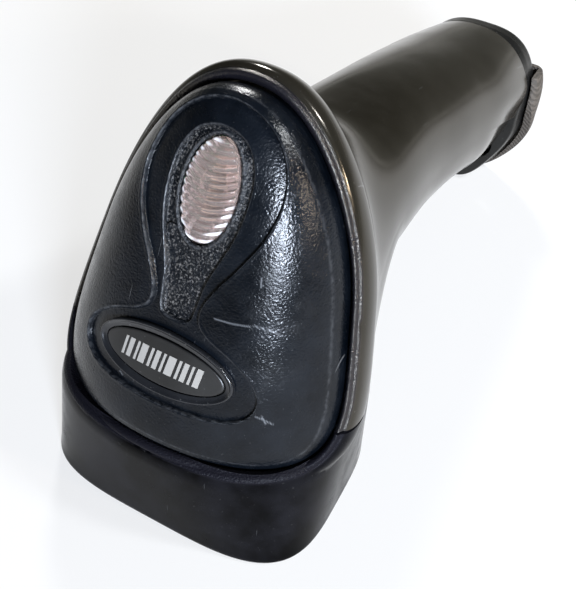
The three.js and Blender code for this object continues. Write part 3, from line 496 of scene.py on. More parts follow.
def pebbled_lip(kit, hue, roughness):
    """The housing's inner ridge is pebbled and dull; its outer band is smooth."""
    lip = attribute_of(kit, "lip")
    hue = kit.mixed(lip, hue, (0.0062, 0.006, 0.0085))
    roughness = kit.math("ADD", roughness, product(kit, lip, 0.14))
    return hue, roughness, product(kit, kit.noise(0.36, 2, 0.5), lip, 48.0)


def rough_channel(kit, hue, roughness):
    """Speckled, roughened floor of the channel, and a painted highlight along the edges of the insert, its
    recess, channel and lens ring.
    """
    channel = attribute_of(kit, "channel")
    wear = attribute_of(kit, "wear")
    speckle = kit.ranged(kit.noise(0.4, 3, 0.65), 0.52, 0.7, 0, 0.8)
    hue = kit.mixed(product(kit, speckle, channel), hue, (0.16, 0.15, 0.14))
    broken = kit.ranged(kit.noise(1.1, 3, 0.6), 0.4, 0.62, 0.15, 1)
    # Painted highlight: a lighter, broken line along the edges stands in for the light they catch.
    hue = kit.mixed(product(kit, wear, broken), hue, (0.06, 0.062, 0.066))
    hue = kit.mixed(attribute_of(kit, "nick"), hue, (0.14, 0.146, 0.155))
    roughness = kit.math("ADD", roughness, product(kit, channel, 0.06))
    return hue, roughness, product(kit, kit.noise(0.55, 3, 0.6), channel, 3.5)


def painted_rib_glints(kit, hue, roughness):
    """Painted glints: the rib ends at the lens edge are painted near white."""
    ends = attribute_of(kit, "ends")
    # painted glint colour, near white
    hue = kit.mixed(ends, hue, (0.95, 0.95, 0.97))
    clear = kit.ranged(ends, 0, 1, 0.85, 0.25)
    kit.links.new(clear, kit.shader.inputs["Transmission Weight"])
    return hue, roughness, None


def marked(kit, hue, roughness):
    """The bars on the badge are light grey."""
    hue = kit.mixed(attribute_of(kit, "mark"), hue, (0.28, 0.265, 0.243))
    return hue, roughness, product(kit, kit.noise(0.3, 2, 0.5), 0.4)


def diagonal_ribs(kit, hue, roughness):
    """Moulded diagonal pattern of the rubber foot."""
    wave = add_node(kit.nodes, "TexWave", Scale=330, Distortion=5.0, Detail=4, Detail_Scale=2.0)
    turned = add_node(kit.nodes, "Mapping", Rotation=(0.5, 0.7, 0.6))
    kit.links.new(kit.where, turned.inputs["Vector"])
    kit.links.new(turned.outputs[0], wave.inputs["Vector"])
    fac = kit.ranged(wave.outputs["Fac"], 0.2, 0.8, 0, 1)
    hue = kit.mixed(fac, hue, (0.075, 0.063, 0.052))
    return hue, roughness, product(kit, fac, 5.0)


def look(colour, rough, **more):
    return dict(colour=colour, rough=rough, **more)


def metal(colour, rough, grain, mottle):
    return look(colour, rough, metal=1, grain=grain, mottle=mottle)


LOOKS = {
    "housing_black": look((0.0098, 0.0084, 0.0058), 0.15, spec=0.55, spec_tint=(1.0, 0.92, 0.8), grain=0.003,
        grain_size=0.6, mottle_size=14, rough_var=0.04, dust=0.08, scratch=0.3, extra=pebbled_lip),
    "housing_grey": look((0.007, 0.007, 0.0065), 0.28, spec=0.35, grain=0.004, grain_size=0.5, dust=0.08,
        scratch=0.3),
    "bumper_black": look((0.0016, 0.0016, 0.0024), 0.2, spec=0.06, mottle=0.8, grain=0.004, grain_size=0.6,
        dust=0.04, scratch=0.4, extra=pebbled_lip),
    "insert_black": look((0.0014, 0.0024, 0.0042), 0.23, spec=0.28, mottle=0.3, grain=0.088, grain_size=0.44,
        mottle_size=7, dust=0.05, scratch=0.35, extra=rough_channel),
    # the lens carries painted glints on its rib ends
    "clear_lens": look((0.86, 0.7, 0.64), 0.08, spec=0.8, transmission=0.85, grain=0.003, rough_var=0.04,
        extra=painted_rib_glints),
    "trim_gloss": look((0.008, 0.0085, 0.01), 0.24, coat=0.2, grain=0.003, dust=0.2),
    "badge_black": look((0.0085, 0.0083, 0.008), 0.4, grain=0.008, extra=marked, dust=0.15),
    "red_window": look((0.3, 0.008, 0.01), 0.05, spec=0.3, transmission=0.9, grain=0.001, rough_var=0.02),
    "gasket_rubber": look((0.012, 0.012, 0.012), 0.75, grain=0.02, spec=0.3),
    "trigger_black": look((0.009, 0.009, 0.0095), 0.36, grain=0.01, grain_size=0.4, scratch=0.5),
    "steel_pin": metal((0.55, 0.56, 0.58), 0.28, 0.004, 0.08),
    "spring_steel": metal((0.5, 0.5, 0.52), 0.3, 0.004, 0.08),
    "switch_black": look((0.015, 0.015, 0.017), 0.5, grain=0.01),
    "plunger_ivory": look((0.6, 0.55, 0.44), 0.45, grain=0.006, mottle=0.06),
    "board_green": look((0.008, 0.075, 0.028), 0.35, coat=0.3, grain=0.01, mottle=0.3, mottle_size=3),
    "chip_black": look((0.014, 0.014, 0.015), 0.55, grain=0.012, grain_size=0.15),
    "capacitor_sleeve": look((0.02, 0.024, 0.035), 0.3, coat=0.4, grain=0.004),
    "connector_ivory": look((0.62, 0.56, 0.42), 0.45, grain=0.006, mottle=0.08),
    "beeper_black": look((0.012, 0.012, 0.012), 0.42, grain=0.008),
    "socket_black": look((0.013, 0.013, 0.014), 0.45, grain=0.01, dust=0.2),
    "contact_gold": metal((0.83, 0.58, 0.22), 0.25, 0.003, 0.08),
    "collar_black": look((0.007, 0.007, 0.0068), 0.3, spec=0.3, spec_tint=(1.0, 0.96, 0.88), grain=0.008,
        grain_size=0.4, dust=0.2),
    "foot_rubber": look((0.044, 0.037, 0.03), 0.62, spec=0.35, grain=0.02, extra=diagonal_ribs, dust=0.4,
        dust_colour=(0.2, 0.18, 0.16)),
    "chassis_black": look((0.02, 0.02, 0.021), 0.6, grain=0.015, grain_size=0.25),
    "barrel_brass": metal((0.62, 0.42, 0.14), 0.3, 0.004, 0.1),
    "laser_glass": look((0.8, 0.85, 0.9), 0.04, transmission=0.9, rough_var=0.01, mottle=0.02),
    "can_brass": metal((0.72, 0.52, 0.22), 0.25, 0.003, 0.08),
    "carrier_black": look((0.018, 0.018, 0.019), 0.5, grain=0.012),
    "mirror_silver": look((0.86, 0.88, 0.9), 0.04, metal=1, rough_var=0.015, mottle=0.02),
    "magnet_nickel": metal((0.5, 0.49, 0.47), 0.24, 0.003, 0.08),
    "coil_copper": look((0.55, 0.2, 0.07), 0.32, metal=0.8, grain=0.03, grain_size=0.2, stretch=(1, 6, 6)),
    "core_steel": metal((0.4, 0.4, 0.41), 0.35, 0.005, 0.1),
    "diode_black": look((0.012, 0.012, 0.02), 0.2, coat=0.5, grain=0.002),
    "filter_red": look((0.4, 0.01, 0.02), 0.06, transmission=0.8, rough_var=0.02),
    "cable_grey": look((0.42, 0.42, 0.39), 0.42, grain=0.006, stretch=(8, 1, 1), mottle=0.2, mottle_size=6),
    "lamp_clear": look((0.75, 0.72, 0.55), 0.15, transmission=0.3, rough_var=0.04, mottle=0.05),
    "screw_steel": metal((0.32, 0.33, 0.35), 0.3, 0.006, 0.15),
    "screw_zinc": metal((0.52, 0.53, 0.55), 0.3, 0.005, 0.12),
}
MATERIALS = {name: material(name, **values) for name, values in LOOKS.items()}

# ---- housing, bumper ----
RING = even_angles(edge_point, 300, 0.8)
COARSE = even_angles(edge_point, 120, 0.6)
LIP = curve_through([(0.34, 0.7), (0.45, 0.2), (0.75, -0.25), (1.15, -0.55), (1.6, -0.6), (1.95, -0.38),
                     (2.2, 0.02), (2.36, 0.2), (2.6, 0.26), (2.95, 0.45), (3.4, 0.95), (3.75, 1.9),
                     (3.93, 3.2), (3.92, 4.6), (3.7, 6.2), (3.0, 8.1), (2.1, 9.6)], 3)


def bowl_and_handle():
    rings = [rim_ring(0.34, 4.0, RING), rim_ring(0.34, 1.6, RING)]
    rings += [rim_ring(out, down, RING) for out, down in LIP]
    end = rim_ring(1.2, 11, RING)
    rings += [end] + neck_rings(rim_ring(2.1, 9.6, RING), end, 0, RING, 30)
    return loft(rings + [handle_ring(y, 0, RING) for y in np.linspace(HANDLE_START, 124, 48)])


def bowl_hollow():
    rings = [rim_ring(o, d, COARSE) for o, d in [(-2.4, -12), (-2.4, 4.6), (1, 6.6), (-1.2, 11.4)]]
    rings += neck_rings(rings[-2], rings[-1], WALL, COARSE, 10)
    return loft(rings + [handle_ring(y, WALL, COARSE) for y in np.linspace(HANDLE_START, 126, 20)])


NOSE_T = even_angles(lambda t: nose_ring(10, 0, 0, t), 300, 0.8)
NOSE_COARSE = even_angles(lambda t: nose_ring(10, 0, 0, t), 120, 0.8)


def nose_block():
    foot = curve_through([(0, 0.95), (0.12, 0.5), (0.4, 0.16), (0.95, 0), (2.2, 0)], 3)
    crown = curve_through([(19.6, 0), (21, 0.2), (22, 0.7), (23, 2.2), (28, 7)], 4)
    levels = list(foot) + [(z, 0) for z in np.linspace(3.2, 18.6, 12)] + list(crown)
    return loft([nose_ring(z, 0, shrink, NOSE_T) for z, shrink in levels])


def nose_hollow():
    levels = [(-1, 0), (3, 0), (7, 0), (11, 0), (14, 0), (18, 0.3), (23, 2), (25.5, 6)]
    return loft([nose_ring(z, WALL, shrink, NOSE_COARSE) for z, shrink in levels])


def side_frame(x=0.0):
    return axes((1, 0, 0), (0, 1, 0), (x, 0, 0))


def below_seam(lift):
    """Everything under the seam between bumper and shells, raised by `lift`."""
    z = lambda y: SEAM_Z + SEAM_SLOPE * y + lift
    return prism([(-FAR, -20), (31, -20), (31, z(31)), (-FAR, z(-FAR))], side_frame(), -FAR, FAR)


def below_parting(lift):
    """Everything under the line between the two shells, raised by `lift`."""
    curve = curve_through(PARTING[1:], 6)
    points = [(10, -40), (10, PARTING[0, 1] + lift)] + [(y, z + lift) for y, z in curve] + [(130, -40)]
    return prism(points[::-1], side_frame(), -FAR, FAR)


BASE_NORMAL = unit((0, 1, -BASE_TILT))
base_frame = axes(BASE_NORMAL, (1, 0, 0), (0, BASE_Y, BASE_Z))
board_frame = axes((0, -BOARD["slope"], 1), (1, 0, 0), (0, BOARD["y"], BOARD["z"]))
board_tangent = unit((0, 1, BOARD["slope"]))


def moved(base, u=0.0, v=0.0, w=0.0):
    origin, a, b, c = base
    return origin + a * u + b * v + c * w, a, b, c


def screw_frame(y):
    return moved(board_frame, v=(y - BOARD["y"]) / board_tangent[1])


def rod(radius, base, h0, h1, count=48, at=(0, 0)):
    return prism(circle(radius, count, at), base, h0, h1)


def window_slab(z0, z1, inset):
    ring = nose_ring(WINDOW_Z, inset, 0, NOSE_COARSE)
    return loft([ring * (1, 1, 0) + (0, 0, z) for z in (z0, z1)])


def rim_plug(out, high, low, t):
    """Block with the insert's outline, between two depths below its edge."""
    return loft([rim_ring(out, high, t), rim_ring(out, low, t)])


def trigger_slot(margin):
    y0, y1 = TRIGGER_Y
    outline = rounded(2 * (TRIGGER_HALF + margin), y1 - y0 + 2 * margin, 4, (0, (y0 + y1) / 2), 10)
    return prism(outline, axes(), 5, 34)


outer_form = combine(bowl_and_handle(), ("+", nose_block()))
hollow = combine(bowl_hollow(), ("+", nose_hollow()))
ledge = combine(rim_plug(1.6, THICK + GAP, 5.6, COARSE), ("-", rim_plug(-2.6, 0, 8, COARSE)), ("&", outer_form))
beyond = prism([(-FAR, -FAR), (FAR, -FAR), (FAR, FAR), (-FAR, FAR)], base_frame, HANDLE_CUT, 80)
skin = main_body(combine(outer_form, ("-", hollow), ("-", rim_plug(INSERT_GAP, THICK + GAP, -14, RING)),
                         ("-", beyond), ("+", ledge)))

EDGE_SAMPLES = edge_point(turn(1200))


def rim_attributes(co):
    """How much each point belongs to the pebbled inner ridge that runs round the insert."""
    values = np.zeros(len(co))
    near = np.flatnonzero(co[:, 2] > 12)
    for part in np.array_split(near, max(1, len(near) // 2000)):
        gap = co[part][:, None] - EDGE_SAMPLES
        away = gap[np.arange(len(part)), (gap**2).sum(-1).argmin(1)]
        lift = away @ NORMAL
        flat = np.sqrt(np.maximum((away**2).sum(-1) - lift**2, 0))
        values[part] = (1 - smooth(flat, 2.15, 2.45)) * smooth(lift, -1.2, -0.3)
    return {"lip": values}


def posts(low, high, *limits):
    first, second = (rod(POST_RADIUS, screw_frame(y), low, high) for y in SCREW_Y)
    return combine(first, ("+", second), *[("&", tool) for tool in limits])


upper = main_body(combine(skin, ("-", below_seam(SEAM_GAP[1])), ("-", below_parting(PARTING_GAP))))
upper = combine(upper, ("+", posts(BOARD["thick"] + GAP, 16.5, outer_form)),
                *[("-", rod(THREAD_RADIUS, screw_frame(y), 0, 12)) for y in SCREW_Y])
place("housing_top_shell", main_body(upper), "housing_black", ("upper_housing",), 32, rim_attributes)

lower_side = below_parting(-PARTING_GAP)
lower = combine(skin, ("&", lower_side), ("-", below_seam(SEAM_GAP[1])))
lower = combine(main_body(lower), ("+", posts(-18, -GAP, outer_form, lower_side)))
for side in (-1, 1):
    cheek = block(side * CHEEK_X - CHEEK_HALF, side * CHEEK_X + CHEEK_HALF, 33, 40, 22, 31)
    cheek = combine(cheek, ("&", outer_form), ("&", lower_side))
    lower = combine(lower, ("+", cheek))
pin_frame = axes((1, 0, 0), (0, 1, 0), (0, *PIVOT))
lower = combine(lower, *[("-", rod(WELL_RADIUS, screw_frame(y), -30, WELL_FLOOR)) for y in SCREW_Y],
                *[("-", rod(SHANK_RADIUS, screw_frame(y), -30, 2)) for y in SCREW_Y],
                ("-", rod(PIN_HOLE, pin_frame, -15, 15)), ("-", trigger_slot(SLOT_GAP)))
place("housing_bottom_shell", main_body(lower), "housing_grey", ("lower_housing",), 32)

boot = main_body(combine(skin, ("&", below_seam(SEAM_GAP[0]))))
window_ledge = combine(window_slab(WINDOW_Z - LEDGE, WINDOW_Z - GAP, 0.8), ("-", window_slab(3, 7, 5.2)))
boot = combine(boot, ("+", window_ledge),
               *[("+", rod(BOSS_RADIUS, axes(at=(x, y, 0)), WINDOW_Z - LEDGE, 9.5)) for x, y in CHASSIS_SCREWS],
               *[("-", rod(BOSS_HOLE, axes(at=(x, y, 0)), WINDOW_Z - 0.8, 11, 24)) for x, y in CHASSIS_SCREWS])
place("bumper_boot", main_body(boot), "bumper_black", ("nose_bumper",), 32, rim_attributes)


# ---- top insert ----
def mirrored(points):
    left = [(-x, a) for x, a in points[1:-1][::-1]]
    ring = np.array(points + left, float)
    closed = np.vstack([ring[-2:], ring, ring[:3]])
    made = curve_through(closed, 8)
    return made[16:16 + 8 * len(ring)]


RECESS = mirrored([(0, 61.1), (6.1, 59.4), (10.6, 54.9), (12.6, 48.4), (11.8, 42), (9.2, 36.1), (6.3, 31.1),
                   (4.7, 27.1), (5, 24.3), (7.3, 22.4), (12.2, 20.3), (16.2, 17.1), (17.3, 13.7), (15.3, 10.4),
                   (9.9, 8.5), (0, 7.9)])
CHANNEL = mirrored([(0, 56.6), (4.3, 55.2), (6.9, 51), (7.4, 45.5), (6.7, 40), (5.2, 35.2), (3.9, 31.2),
                    (3.3, 27), (2.6, 23.9), (0, 23.3)])


def signed_distance(outline, p):
    """Distance of plane points to a closed outline, positive inside."""
    a, b = outline, np.roll(outline, -1, 0)
    best = np.full(len(p), 1e9)
    inside = np.zeros(len(p), bool)
    for (x0, y0), (x1, y1) in zip(a, b):
        ex, ey = x1 - x0, y1 - y0
        t = np.clip(((p[:, 0] - x0) * ex + (p[:, 1] - y0) * ey) / (ex * ex + ey * ey + 1e-12), 0, 1)
        best = np.minimum(best, (p[:, 0] - x0 - t * ex) ** 2 + (p[:, 1] - y0 - t * ey) ** 2)
        crosses = (y0 > p[:, 1]) != (y1 > p[:, 1])
        at = x0 + (p[:, 1] - y0) * ex / (ey if abs(ey) > 1e-12 else 1e-12)
        inside ^= crosses & (p[:, 0] < at)
    return np.sqrt(best) * np.where(inside, 1, -1)


def lens_radius(x, a):
    """0 at the lens's centre and 1 on its outline."""
    return np.sqrt((x / LENS_WIDE) ** 2 + ((a - LENS_A) / LENS_LONG) ** 2)


def lens_ring_distance(x, a):
    """Rough distance from the lens's outline, positive outside."""
    r = lens_radius(x, a)
    return (r - 1) * (LENS_WIDE * LENS_LONG) / np.sqrt(
        (LENS_LONG * x / np.maximum(LENS_WIDE * r, 1e-6)) ** 2
        + (LENS_WIDE * (a - LENS_A) / np.maximum(LENS_LONG * r, 1e-6)) ** 2 + 1e-9)


def dome_ring(t, scale):
    x, a, u = insert_edge(t, scale)
    return x, a, insert_height(x, u, scale)


def insert_rings():
    """The insert's skin: a dome with its recess and channel, then the side and the underside."""
    t = even_angles(edge_point, 640, 0.75)
    scales = np.concatenate([np.linspace(0.01, 0.93, 170), np.linspace(0.933, 0.9985, 40)])
    x, a, h = np.stack([dome_ring(t, s) for s in scales], 1)
    flat = np.stack([x.ravel(), a.ravel()], -1)
    d_recess = signed_distance(RECESS, flat).reshape(x.shape)
    d_channel = signed_distance(CHANNEL, flat).reshape(x.shape)
    edge_x, edge_a, _ = insert_edge(t)
    d_edge = np.sqrt((x - edge_x) ** 2 + (a - edge_a) ** 2)
    h = h - RECESS_DEPTH * smooth(d_recess, -0.22, 0.3) + LIP_HEIGHT * bell(d_recess + 0.45, 0.22)
    h = h - RECESS_DEPTH * smooth(d_channel, -0.25, 0.35) + LIP_HEIGHT * bell(d_channel + 0.45, 0.22)
    h = h + RING_HEIGHT * bell(lens_ring_distance(x, a) - 0.75, 0.32)
    h = h - 0.05 * (1 - smooth(d_edge, 1.0, 1.3))
    h = h - 0.3 * np.maximum(0, 1 - d_edge / 0.45) ** 2
    top = [head(*ring) for ring in zip(x, a, h)]
    side = [rim_ring(0.0, down, t) for down in (0.55, 1.2, 2.2, 3.3, THICK)]
    under = [head(x, a, h - THICK) for x, a, h in (dome_ring(t, s) for s in (0.97, 0.85, 0.6, 0.3))]
    return top + side + under


NICKS = [[(7.5, 26.6), (10.5, 26.9), (13.5, 27.5)], [(13.9, 27.8), (16.4, 27.9), (18.3, 27.3)],
         [(17.8, 12.2), (19.0, 12.0), (20.4, 11.5)], [(18.6, 12.6), (19.4, 11.3)], [(-8.3, 9.5), (-7.6, 9.1)],
         [(13.1, 35.9), (13.4, 34.4)]]


def on_plane(co):
    """Across, along and above the head plane, for modelling-frame points."""
    flat = co - np.array([0, *FRONT])
    return co[:, 0], flat[:, 1] * AY + flat[:, 2] * AZ, flat[:, 2] * AY - flat[:, 1] * AZ


def insert_attributes(co):
    """Where the insert is roughened, where a highlight is painted along its edges, and where it is nicked."""
    x, a, h = on_plane(co)
    plane = np.stack([x, a], -1)
    outline = np.stack(insert_edge(turn(400))[:2], -1)
    d_edge = np.abs(signed_distance(outline, plane))
    d_channel = signed_distance(CHANNEL, plane)
    # Painted highlight lines: the insert's outer edge, the recess and channel edges and the top of the lens ring.
    wear = 0.35 * bell(d_edge - 1.15, 0.16) + 0.8 * bell(signed_distance(RECESS, plane) + 0.1, 0.15)
    wear = wear + 0.8 * bell(lens_ring_distance(x, a) - 0.7, 0.2) * (h > 2) + 0.7 * bell(d_channel + 0.15, 0.14)
    nick = np.zeros(len(co))
    for line in NICKS:
        for p, q in zip(line[:-1], line[1:]):
            p, q = np.array(p), np.array(q)
            k = np.clip((plane - p) @ (q - p) / ((q - p) @ (q - p)), 0, 1)
            nick = np.maximum(nick, bell(np.linalg.norm(plane - p - k[:, None] * (q - p), axis=1), 0.09))
    return {"channel": smooth(d_channel, -0.3, 0.3) * (h > -2), "wear": np.clip(wear, 0, 1), "nick": nick * 0.8}


def on_head(outline, h0, h1):
    return prism(outline, ((0, *FRONT), (1, 0, 0), (0, AY, AZ), NORMAL), h0, h1)


insert = combine(loft(insert_rings()),
                 ("-", on_head(oval(LENS_WIDE + GAP, LENS_LONG + GAP, (0, LENS_A)), -20, 30)),
                 *[("+", on_head(circle(0.9, 24, at), -3.2, 4.5)) for at in ((-4.6, 37.8), (4.6, 53.4))])
place("insert_lid", main_body(insert), "insert_black", ("top_insert",), 40, insert_attributes)


def crest_height(a):
    u = 2 * a / LENGTH - 1
    return insert_height(0 * a, u, np.abs(u))


def rib_wave(x, a):
    """Curved ribs across the lens, from -1 in a groove to 1 on a crest."""
    return np.cos(2 * np.pi * (a - LENS_A - RIB_BEND * x * x) / (2 * LENS_LONG / RIBS))


def lens_solid():
    t = turn(360)
    rings = []
    scales = np.concatenate([np.linspace(0.02, 0.96, 70), [0.98, 1.0]])
    for s in scales:
        x = LENS_WIDE * s * np.sin(t)
        a = LENS_A + LENS_LONG * s * np.cos(t)
        ribs = power(rib_wave(x, a), 0.7)
        h = crest_height(a) - LENS_SINK + RIB_HEIGHT * ribs * (1 - 0.5 * s**8) - 0.022 * x * x + 0.7 * (1 - s**4)
        if s >= 0.98:
            h = h - 0.2 - (s - 0.98) * 20
        rings.append(head(x, a, h))
    for s, drop in ((1.0, 2.6), (1.0, 3.4), (0.6, 3.4)):
        a = LENS_A + LENS_LONG * s * np.cos(t)
        rings.append(head(LENS_WIDE * s * np.sin(t), a, crest_height(a) - drop))
    return loft(rings)


lens = combine(lens_solid(), ("+", on_head(oval(2.4, 4.4, (0, LENS_A)), 1.2, 3.6)))


def lens_attributes(co):
    """Where glints are painted on the rib ends: near the lens's outline, along its left side and the front part
    of its right side.
    """
    x, a, _ = on_plane(co)
    side = smooth(-x, -1, 1) + (1 - smooth(a - LENS_A, -3, 1)) * smooth(x, 0, 1.5)
    ends = smooth(lens_radius(x, a), 0.78, 0.9) * smooth(rib_wave(x, a), -0.1, 0.6) * np.clip(side, 0, 1)
    return {"ends": ends}


place("lens_ribbed", lens, "clear_lens", ("indicator_lens",), 50, lens_attributes)


# ---- badge ----
def surface(x, a):
    """Height of the plain dome over a point of the head plane."""
    low, high = np.zeros(np.shape(x)), np.ones(np.shape(x))
    u_point = 2 * a / LENGTH - 1
    for _ in range(40):
        s = (low + high) / 2
        u = u_point / np.maximum(s, 1e-9)
        exponent = np.where(u < 0, EDGE_EXPONENTS[0], EDGE_EXPONENTS[1])
        cosine = np.clip(np.abs(u), 0, 1) ** (exponent / 2)
        sine = np.sqrt(np.maximum(1 - cosine**2, 0))
        reach = HALF_WIDTH * (1 - TAPER * np.sign(u) * np.minimum(np.abs(u), 1) * s) * sine ** (2 / exponent) * s
        outside = (np.abs(u) > 1) | (np.abs(x) > reach)
        low, high = np.where(outside, s, low), np.where(outside, high, s)
    return insert_height(x, u_point, (low + high) / 2)


def ring_tube(path, section):
    """Closed tube: section points (across, height) carried round a closed path of the head plane."""
    path = np.asarray(path, float)
    step = np.roll(path, -1, 0) - np.roll(path, 1, 0)
    outward = unit(np.stack([step[:, 1], -step[:, 0]], -1))
    points = []
    for across, lift in section:
        x, a = (path + outward * across).T
        points.append(head(x, a, surface(x, a) + lift))
    points = np.concatenate(points)
    return points, outward_faces(points, grid_faces(len(section), len(path), True))


half_rim = BADGE_RIM / 2
rim_path = oval(BADGE_WIDE - half_rim, BADGE_LONG - half_rim, (0, BADGE_A), 260)
rim_crest = curve_through([(half_rim - inward, lift) for inward, lift in (
    (0, -0.3), (0.03, 0), (0.16, 0.24), (0.34, 0.27), (0.52, 0.14), (0.85, -0.12), (2 * half_rim, -0.32))], 4)
rim_section = [(-half_rim, -0.68), (half_rim, -0.68), *map(tuple, rim_crest)]
place("badge_rim", ring_tube(rim_path, rim_section), "trim_gloss", ("badge_bezel",), 50)


def badge_plate():
    inset = BADGE_RIM + GAP
    t = turn(200)
    rings = []
    levels = [(s, -0.1) for s in np.linspace(0.03, 0.97, 24)]
    levels += [(0.99, -0.14), (1.0, -0.24), (1.0, -0.7), (0.7, -0.7), (0.35, -0.7)]
    for s, drop in levels:
        x = (BADGE_WIDE - inset) * s * np.sin(t)
        a = BADGE_A + (BADGE_LONG - inset) * s * np.cos(t)
        rings.append(head(x, a, surface(x, a) + drop))
    return loft(rings)


def inlay(x0, x1, a0, a1, slant):
    """One slanted bar standing just proud of the badge."""
    rings = []
    for v in np.linspace(0, 1, 13):
        x = x0 + (x1 - x0) * np.linspace(0, 1, 5) + slant * (v - 0.5)
        a = np.full_like(x, BADGE_A + a0 + (a1 - a0) * v)
        h = surface(x, a)
        rings.append(np.vstack([head(x, a, h - 0.03), head(x, a, h - 0.3)[::-1]]))
    return loft(rings)


BARS = [(-7.9, 0.5), (-6.9, 0.9), (-5.3, 0.45), (-4.4, 1.3), (-2.4, 0.5), (-1.4, 0.9),
        (0.1, 0.45), (1.1, 1.5), (3.2, 0.5), (4.2, 0.9), (5.7, 0.45), (6.7, 1.1)]  # start, width
BAR_HALF, BAR_SLANT = 2.1 * 0.85, 0.5
plate_points, plate_faces = badge_plate()
plate_faces = outward_faces(plate_points, plate_faces)
count_plain = len(plate_points)
for start, width in BARS:
    points, faces = inlay(start, start + width, -BAR_HALF, BAR_HALF, BAR_SLANT)
    offset = len(plate_points)
    plate_faces = plate_faces + [tuple(i + offset for i in f) for f in outward_faces(points, faces)]
    plate_points = np.vstack([plate_points, points])
place("badge_plate", raw_mesh(plate_points, plate_faces), "badge_black", ("badge_face",), 40,
      lambda co: {"mark": (np.arange(len(co)) >= count_plain).astype(float)})


# ---- collar, foot ----
def base_ring(depth, half_width, half_height, exponent=2.8, drop=BASE_DROP, count=260):
    """Section of collar or foot, narrower towards its underside."""
    e = 2 / exponent
    t = even_angles(lambda q: np.stack([half_width * power(np.sin(q), e), half_height * power(np.cos(q), e)], -1),
                    count, 0.85)
    origin, u, v, w = base_frame
    low = power(np.cos(t), e)
    x = half_width * power(np.sin(t), e) * (1 - 0.3 * EGG * smooth(low, 0, 0.95) + 0.04 * smooth(-low, 0, 0.5))
    y = half_height * low * np.where(low < 0, 1.06, 0.97) + drop
    return origin + x[:, None] * u + y[:, None] * v + w * depth


socket_frame = axes(BASE_NORMAL, (1, 0, 0), (0, SOCKET_Y, through(1, SOCKET_Y) - SOCKET_DROP))
above_table = block(-FAR, FAR, -FAR, 200, 0, 120)
# Depth along the base frame, half width, half height.
collar_profile = curve_through([(-1.15, 14.9, 19.4), (-0.95, 15.2, 19.75), (0.2, 15.45, 20.05),
                                (1.4, 15.5, 20.15), (2.3, 15.55, 20.2), (2.9, 15.55, 20.22), (4.2, 15.5, 20.15),
                                (6.2, 15.42, 20.05), (7.2, 14.95, 19.55), (7.9, 14.2, 18.8), (8.3, 13.4, 18.0),
                                (8.4, 12.8, 17.4)], 3)
collar = combine(loft([base_ring(*p) for p in collar_profile]),
                 ("+", loft([base_ring(d, 12.6, 16.6, HANDLE_EXPONENT, -1.2) for d in (-2.6, 1.0)])),
                 ("&", above_table), ("-", prism(rounded(12.8, 9.6, 0.8), socket_frame, -20, 40)),
                 ("-", prism(rounded(22, 28, 4), base_frame, -5, 4.6)))
place("collar_moulding", main_body(collar), "collar_black", ("base_collar",), 32)

foot_profile = curve_through([(2.2, 16.75, 21.5), (2.45, 17.2, 21.9), (3.2, 17.95, 22.35), (4.6, 18.2, 22.45),
                              (6.5, 18.15, 22.4), (7.8, 17.75, 22.1), (8.7, 17.1, 21.5), (9.2, 16.4, 20.9),
                              (9.3, 15.9, 20.4)], 4)
foot = combine(loft([base_ring(*p, 2.5) for p in foot_profile]),
               ("-", loft([base_ring(*p) for p in [(0, 16.2, 21.8), (8.2, 16.2, 21.8), (8.2, 12.6, 16.5),
                                                   (14, 12.6, 16.5)]])),
               ("&", prism([(115.8, 31), (119.8, 0), (150, 0), (150, 31)], side_frame(), -FAR, FAR)))
place("foot_pad", main_body(foot), "foot_rubber", ("base_foot",), 32)


# ---- trigger and the screws in their wells ----
def trigger_solid():
    bulge = lambda y: 1.3 - 1.6 * ((y - 46) / 18) ** 2

    def section(y, inset):
        ring = handle_ring(max(y, HANDLE_START), inset, RING)
        ring[:, 1] = y
        return ring

    outer = loft([section(y, -bulge(y)) for y in np.linspace(32, 64, 40)])
    inner = loft([section(y, 2.6) for y in np.linspace(30, 66, 20)])
    pad = combine(outer, ("-", inner), ("&", trigger_slot(0)), ("&", block(-20, 20, 20, 70, 0, 31)))
    t = np.linspace(0, np.pi, 17)
    ear = [(35, 24), (42, 22.6), (42, 25.5), (39.2, 29.5)]
    ear += [(PIVOT[0] + 2.2 * math.cos(k), PIVOT[1] + 2.2 * math.sin(k)) for k in t]
    steps = [("+", prism(ear, side_frame(side * 6.6), -1, 1)) for side in (-1, 1)]
    steps += [("+", block(-2.2, 2.2, 47.1, 49.9, 22.6, 32.75)), ("-", rod(1.15, pin_frame, -12, 12))]
    return main_body(combine(pad, *steps))


place("trigger_key", trigger_solid(), "trigger_black", ("trigger",), 32, body="trigger")

SPRING = {"y": 57.0, "low": 25.2, "high": 36.6, "radius": 2.03, "wire": 0.36, "turns": 8.5, "pressed": 0.86}


def coil_spring(sides=10, per_turn=30):
    """Compression spring between the trigger and the board, with one closed turn at each end."""
    wire, turns = SPRING["wire"], SPRING["turns"]
    u = np.linspace(0, turns, int(turns * per_turn) + 1)
    rise = SPRING["high"] - SPRING["low"] - 2 * wire
    z = SPRING["low"] + wire + np.interp(u, [0, 1, turns - 1, turns], [0, 2.1 * wire, rise - 2.1 * wire, rise])
    outward = np.stack([np.cos(2 * np.pi * u), np.sin(2 * np.pi * u), np.zeros_like(u)], -1)
    path = outward * SPRING["radius"] + np.stack([np.zeros_like(u), np.full_like(u, SPRING["y"]), z], -1)
    along = unit(np.gradient(path, axis=0))
    upward = unit(np.cross(along, outward))
    around = np.arange(sides)[None, :, None] * 2 * np.pi / sides
    ring = np.cos(around) * outward[:, None] + np.sin(around) * upward[:, None]
    points = (path[:, None] + wire * ring).reshape(-1, 3)
    ends = [tuple(range(sides))[::-1], tuple(range((len(u) - 1) * sides, len(u) * sides))]
    return points, outward_faces(points, grid_faces(len(u), sides) + ends)


spring = place("spring_coil", coil_spring(), "spring_steel", ("trigger_spring",), 40)
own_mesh(spring)


